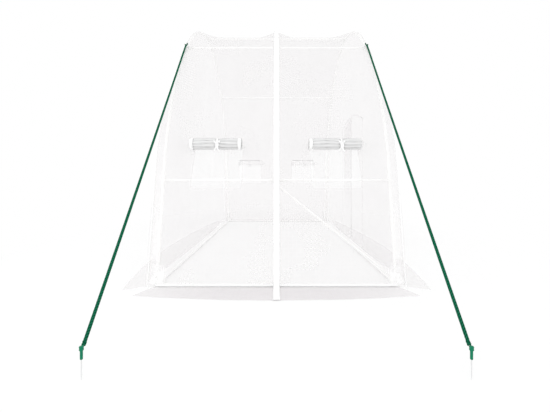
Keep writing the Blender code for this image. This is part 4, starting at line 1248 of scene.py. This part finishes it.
class TENT_OT_door(bpy.types.Operator):
    """Hang the two door leaves, with their zip, and put the slider on it"""

    bl_idname = "tent.door"
    bl_label = "Door and zip"

    def execute(self, context):
        depth = context.scene.tent_sizes.wrinkle
        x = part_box("door_leaf_far")[0].x + 0.0010
        for name, side in SIDES.items():

            def place(u, v):
                y = side * (DOOR_HALF - 0.0006 - (DOOR_HALF - 0.0010) * u)
                foot, top = 0.006, door_top(y) - 0.0008
                z = foot + (top - foot) * v
                held = smooth_step(u / 0.2) * smooth_step((1 - u) / 0.2)
                held *= smooth_step(v / 0.1) * smooth_step((1 - v) / 0.1)
                return Vector((x + fold_depth(y * 1.4, z, 90.0) * depth * held, y, z)), (y, z)

            bm = laid_grid(36, 90, place, X)
            body = f"door_{name}"
            leaf = finished(f"door_film_{name}", bm, "end", [f"door_leaf_{name}"], body=body)
            pieces = [self.hems(name, side, x)]
            if name == "far":
                pieces.append(self.flap(x))
            self.zip(name, side, x)
        self.slider()
        self.frame_tape(x)
        return {"FINISHED"}

    def zip(self, name, side, x):
        """Half of the zip: its tape, and its row of teeth drawn at 5 mm."""
        gap, body = 0.0002, f"door_{name}"
        low, high = sorted((side * gap, side * ZIP_HALF))
        bm = bmesh.new()
        add_box(bm, (x + 0.0006, low, 0.006), (x + 0.0012, high, ZIP_TOP))
        finished(f"zip_tape_{name}", bm, "zip", body=body)
        low, high = sorted((side * gap, side * 0.0036))
        bm = bmesh.new()
        height = 0.0100 if side < 0 else 0.0100 + TOOTH_PITCH / 2
        while height < ZIP_TOP - 0.004:
            add_box(bm, (x + 0.0012, low, height), (x + 0.0021, high, height + 0.0026))
            height += TOOTH_PITCH
        finished(f"zip_teeth_{name}", bm, "zip", body=body, smooth=False)

    def hems(self, name, side, x):
        """Folded hem along the leaf's top and its hinge edge."""
        x += 0.0007
        bm = new_cut()
        ys = [side * (0.016 + (DOOR_HALF - 0.026) * step / 40) for step in range(41)]
        ribbon(bm, [Vector((x, y, door_top(y) - 0.010)) for y in ys], Z, HEM_WIDTH)
        hinge = [Vector((x, side * (DOOR_HALF - 0.009), 0.02 + 1.16 * i / 30)) for i in range(31)]
        ribbon(bm, hinge, Y, HEM_WIDTH)
        face_outwards(bm, X)
        return finished(f"door_hem_{name}", bm, "hem", body=f"door_{name}")

    def flap(self, x):
        """Loose strip of doubled film that hangs beside the zip, in upright creases."""

        def place(u, v):
            y = 0.004 + FLAP_WIDTH * u
            z = FLAP_FOOT + (door_top(y) - 0.012 - FLAP_FOOT) * v
            loose = smooth_step(u / 0.3) * (0.4 + 0.6 * smooth_step((1 - v) / 0.2))
            crease = noise.noise(Vector((y * 30.0 + 0.6 * math.sin(z * 3.0), z * 1.5, 5.0)))
            crumple = noise.noise(Vector((y * 18.0, z * 9.0, 9.0))) * smooth_step((0.9 - z) / 0.4)
            point = Vector((x + 0.0042 + loose * (0.0030 * crease + 0.0022 * crumple), y, z))
            return point, (FLAP_WIDTH * u, FLAP_HEIGHT * v)

        return finished("zip_flap", laid_grid(40, 100, place, X), "flap", body="door_far")

    def frame_tape(self, x):
        """White binding round the doorway."""
        bm = new_cut()
        last = 120
        inner = door_edge(last + 1)
        rows = []
        for grow in (0.0008, 0.016):
            row = []
            for index, point in enumerate(inner):
                way = (inner[min(last, index + 1)] - inner[max(0, index - 1)]).normalized()
                place = point + Vector((-way.y, way.x)) * grow
                row.append(bm.verts.new((x + 0.0007, place.x, max(0.004, place.y))))
            rows.append(row)
        strip(bm, rows)
        face_outwards(bm, X)
        finished("doorway_binding", bm, "webbing", thick=0.0006, outwards=1.0)

    def slider(self):
        """Zip slider with its pull tab."""
        low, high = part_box("zip_slider")
        y = (low.y + high.y) / 2
        foot, front = high.z - 0.022, low.x + 0.0034
        bm = bmesh.new()
        for vert in add_box(bm, (low.x, low.y, foot), (front, high.y, high.z)):
            if vert.co.z < foot + 0.001:
                vert.co.y = y + (vert.co.y - y) * 0.62
        add_box(bm, (front, y - 0.0016, foot + 0.004), (high.x, y + 0.0016, high.z - 0.005))
        eye = Matrix.Translation((low.x + 0.0040, y, low.z + 0.0034)) @ Matrix.Rotation(math.pi / 2, 4, "Y")
        bmesh.ops.create_cone(
            bm, cap_ends=True, segments=20, radius1=0.0031, radius2=0.0031, depth=0.0014, matrix=eye
        )
        add_box(bm, (low.x + 0.0033, y - 0.0028, low.z + 0.003), (low.x + 0.0047, y + 0.0028, low.z + 0.032))
        piece = finished("slider_body", bm, "zinc", ["zip_slider"], body="slider")
        rounding = piece.modifiers.new("Rounded edges", "BEVEL")
        rounding.width = 0.0005
        rounding.segments = 2
        rounding.limit_method = "ANGLE"
        rounding.angle_limit = math.radians(40)


# Skirts
class TENT_OT_skirts(bpy.types.Operator):
    """Spread the film skirts on the ground, open at the corners"""

    bl_idname = "tent.skirts"
    bl_label = "Ground skirts"

    def execute(self, context):
        for name, side in SIDES.items():
            low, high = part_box(f"{name}_skirt")
            inner = min(abs(low.y), abs(high.y)) + 0.001

            def place(u, v):
                t = 2 * u - 1
                edge = Vector((t * (BAY_LENGTH + SKIRT_SPREAD), FOOT.x + 0.164 + 0.073 * (1 - t * t)))
                flat = Vector((t * (BAY_LENGTH + 0.011), inner)).lerp(edge, v)
                return self.lie(flat.x, side * flat.y, v, 3.0 + side)

            # The long skirts are drawn in darker, denser film than the end skirts, as painted shade
            self.make(name, place, 96, (1.55, 0.24), "double")
        tip, bulge = 0.169, 0.290
        for name, end in BAYS.items():

            def place(u, v):
                t = 2 * u - 1
                y = t * (FOOT.x + 0.010)
                loose = OVERHANG * (1 - smooth_step((1 - abs(t)) * 1.6))
                reach = BAY_LENGTH + tip + (bulge - tip) * (1 - t * t) * (1 - 0.30 * t)
                edge = Vector((reach, t * (FOOT.x + SKIRT_SPREAD)))
                flat = Vector((END_X + end_bulge(y, 0.0) + loose + 0.002, y)).lerp(edge, v)
                return self.lie(end * flat.x, flat.y, v, 11.0 + end)

            self.make(name, place, 160, (3.15, 0.24), "skirt")
        return {"FINISHED"}

    def lie(self, x, y, v, seed):
        """Point of film lying on the ground, in low waves that lift a little at its edge."""
        wave = noise.noise(Vector((x * 4.0, y * 4.0, seed))) + 0.5 * noise.noise(Vector((x * 11.0, y * 11.0, seed)))
        lift = 0.0008 + 0.0028 * smooth_step(v / 0.2) * max(0.0, 0.45 + wave)
        return Vector((x, y, lift)), (x + 0.775, y)

    def make(self, name, place, columns, flat, look):
        piece = finished(f"film_skirt_{name}", laid_grid(columns, 20, place, Z), look, [f"{name}_skirt"])


# Windows
class TENT_OT_nets(bpy.types.Operator):
    """Sew the insect nets behind the window openings"""

    bl_idname = "tent.nets"
    bl_label = "Window nets"

    def execute(self, context):
        sizes = context.scene.tent_sizes
        low, high, half = WINDOW_SILL - NET_MARGIN, WINDOW_HEAD + NET_MARGIN, WINDOW_HALF + NET_MARGIN
        columns, rows = (round(run / sizes.net_cell) for run in (2 * half, high - low))
        for wall, bay, end, side in WALLS:

            def place(u, v):
                x, height = end * WINDOW_X + half * (2 * u - 1), low + (high - low) * v
                return on_wall(x, height, side, UNDER), (x, height)

            bm = laid_grid(columns, rows, place, from_axis)
            piece = finished(f"insect_net_{wall}", bm, "net", [f"{wall}_window_net"], smooth=False)
            wires = piece.modifiers.new("Strands", "WIREFRAME")
            wires.thickness = sizes.net_strand
            wires.use_boundary = True
            wires.use_even_offset = False
        return {"FINISHED"}


class TENT_OT_rolls(bpy.types.Operator):
    """Roll up the window flaps and tie them, with a bow in the middle"""

    bl_idname = "tent.rolls"
    bl_label = "Rolled window flaps"

    def execute(self, context):
        turns = context.scene.tent_sizes.roll_turns
        for wall, bay, end, side in WALLS:
            low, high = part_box(f"{wall}_window_roll")
            away = min(abs(low.y), abs(high.y)) + ROLL_RADIUS + 0.0005
            axis = Vector((end * WINDOW_X + ROLL_SHIFT.get(wall, 0.0), side * away, (low.z + high.z) / 2))
            bow = BOW_SHIFT[wall]
            tied = [-ROLL_TIE, bow] if wall == OPEN_ENDED_ROLL else [-ROLL_TIE, bow, ROLL_TIE]
            pieces = [self.ties(wall, axis, side, tied, bow), self.loose_end(wall, axis, side)]
            self.roll(wall, axis, side, tied, turns)
        return {"FINISHED"}

    def pinch(self, x, tied):
        """How far a roll is drawn in at x along it."""
        return min(0.87 + 0.13 * smooth_step((abs(x - tie) - 0.007) / 0.013) for tie in tied)

    def roll(self, wall, axis, side, tied, turns):
        """Spiral of film with slack in it, drawn in at its ties."""
        seed = axis.x * 17 + side * 5

        def place(u, v):
            x = (u - 0.5) * ROLL_LENGTH
            angle = 2 * math.pi * turns * v
            slack = noise.noise(Vector((x * 9.0, angle * 0.9, seed)))
            r = (0.010 + (ROLL_RADIUS - 0.0110) * v ** 0.8) * self.pinch(x, tied) + 0.0011 * slack
            r *= 1.0 + 0.012 * math.sin(7 * angle + seed)
            spin = angle + 0.10 * noise.noise(Vector((x * 5.0, 3.0, seed)))
            edge = 0.003 * noise.noise(Vector((angle, 1.0, seed))) if abs(u - 0.5) > 0.49 else 0.0
            point = axis + Vector((x + edge, side * r * math.cos(spin), r * math.sin(spin)))
            return point, (x, 0.06 * angle / 6.28)

        bm = laid_grid(70, round(26 * turns), place)
        # The far rolls are paler: painted light for the backlight they show through the tent
        look = "roll" if side < 0 else "roll_painted_backlight"
        return finished(f"rolled_flap_{wall}", bm, look, [f"{wall}_window_roll"], thick=0.0012)

    def ties(self, wall, axis, side, tied, bow):
        """Wide webbing bands at the roll's ends and a narrow one with a bow in the middle."""
        bm = new_cut()
        for tie in tied:
            width, share = (0.012, 0.88) if tie == bow else (0.022, 0.915)
            radius = ROLL_RADIUS * share + 0.0012
            ribbon(bm, round_route(axis + X * tie, Y * side * radius, Z * radius, 36), X, width)
        self.bow(bm, axis + Vector((bow, side * (ROLL_RADIUS * 0.88 + 0.0045), 0.002)), side)
        close_up(bm)
        return finished(f"roll_ties_{wall}", bm, "webbing", thick=0.0010)

    def bow(self, bm, knot, side):
        """Knot, two flat loops beside it and two tails that hang past the roll."""
        width = 0.0105
        for way in (-1, 1):
            loop, tail = [], []
            for step in range(17):
                angle = 2 * math.pi * step / 16
                out = 0.0095 * (1 - math.cos(angle))
                loop.append(knot + Vector((
                    way * (out + 0.001), side * (0.0025 + 0.0030 * math.sin(angle)),
                    0.0010 + 0.62 * out + 0.0022 * math.sin(angle),
                )))
            ribbon(bm, loop, Vector((0, side * 0.15, 1)).normalized(), width)
            for step in range(13):
                share = step / 12
                lift = 0.004 * math.sin(math.pi * share * 1.5)
                sway = 0.0035 * math.sin(2 * math.pi * share + way)
                tail.append(knot + Vector((
                    way * (0.003 + 0.010 * share) + sway, side * (0.003 + lift), -0.052 * share,
                )))
            ribbon(bm, tail, X, width)
        add_box(bm, knot - Vector((0.006, 0.003, 0.006)), knot + Vector((0.006, 0.0035, 0.006)))

    def loose_end(self, wall, axis, side):
        """Film that sticks out of a roll's end, gathered to a point."""

        def place(u, v):
            angle = 2 * math.pi * u
            crease = 1.0 + 0.22 * math.sin(5 * angle) * (1 - v) + 0.1 * math.sin(9 * angle + 1.0)
            r = ROLL_RADIUS * 0.80 * (1 - v) ** 0.75 * crease + 0.0006
            x = ROLL_LENGTH / 2 - 0.004 + 0.052 * v
            return axis + Vector((x, side * r * math.cos(angle) * 0.6, r * math.sin(angle) - 0.004 * v)), (u * 0.2, x)

        return finished(f"roll_end_{wall}", laid_grid(48, 10, place), "band")


class TENT_PT_panel(bpy.types.Panel):
    """Sizes, colours and the steps of the tent"""

    bl_label = "Greenhouse tent"
    bl_idname = "TENT_PT_panel"
    bl_space_type = "VIEW_3D"
    bl_region_type = "UI"
    bl_category = "Tent"

    def draw(self, context):
        layout = self.layout
        for group in (context.scene.tent_sizes, context.scene.tent_colours, context.scene.tent_stage):
            box = layout.box()
            for name in group.__annotations__:
                box.prop(group, name)
        for step in STEPS:
            layout.operator(step.bl_idname)


STEPS = (
    TENT_OT_stage, TENT_OT_ropes, TENT_OT_pegs, TENT_OT_loops, TENT_OT_hoops, TENT_OT_bars, TENT_OT_cover,
    TENT_OT_ends, TENT_OT_door, TENT_OT_skirts, TENT_OT_tape, TENT_OT_nets, TENT_OT_rolls,
)
GROUPS = {"tent_sizes": TentSizes, "tent_colours": TentColours, "tent_stage": TentStage}


def register():
    for kind in (*GROUPS.values(), *STEPS, TENT_PT_panel):
        bpy.utils.register_class(kind)
    for name, group in GROUPS.items():
        setattr(bpy.types.Scene, name, PointerProperty(type=group))


def unregister():
    for name in GROUPS:
        delattr(bpy.types.Scene, name)
    for kind in reversed((*GROUPS.values(), *STEPS, TENT_PT_panel)):
        bpy.utils.unregister_class(kind)


def main():
    register()
    bpy.ops.tent.stage()
    bpy.ops.tent.ropes()
    bpy.ops.tent.pegs()
    bpy.ops.tent.loops()
    bpy.ops.tent.hoops()
    bpy.ops.tent.bars()
    bpy.ops.tent.cover()
    bpy.ops.tent.ends()
    bpy.ops.tent.door()
    bpy.ops.tent.skirts()
    bpy.ops.tent.tape()
    bpy.ops.tent.nets()
    bpy.ops.tent.rolls()


if __name__ == "__main__":
    main()
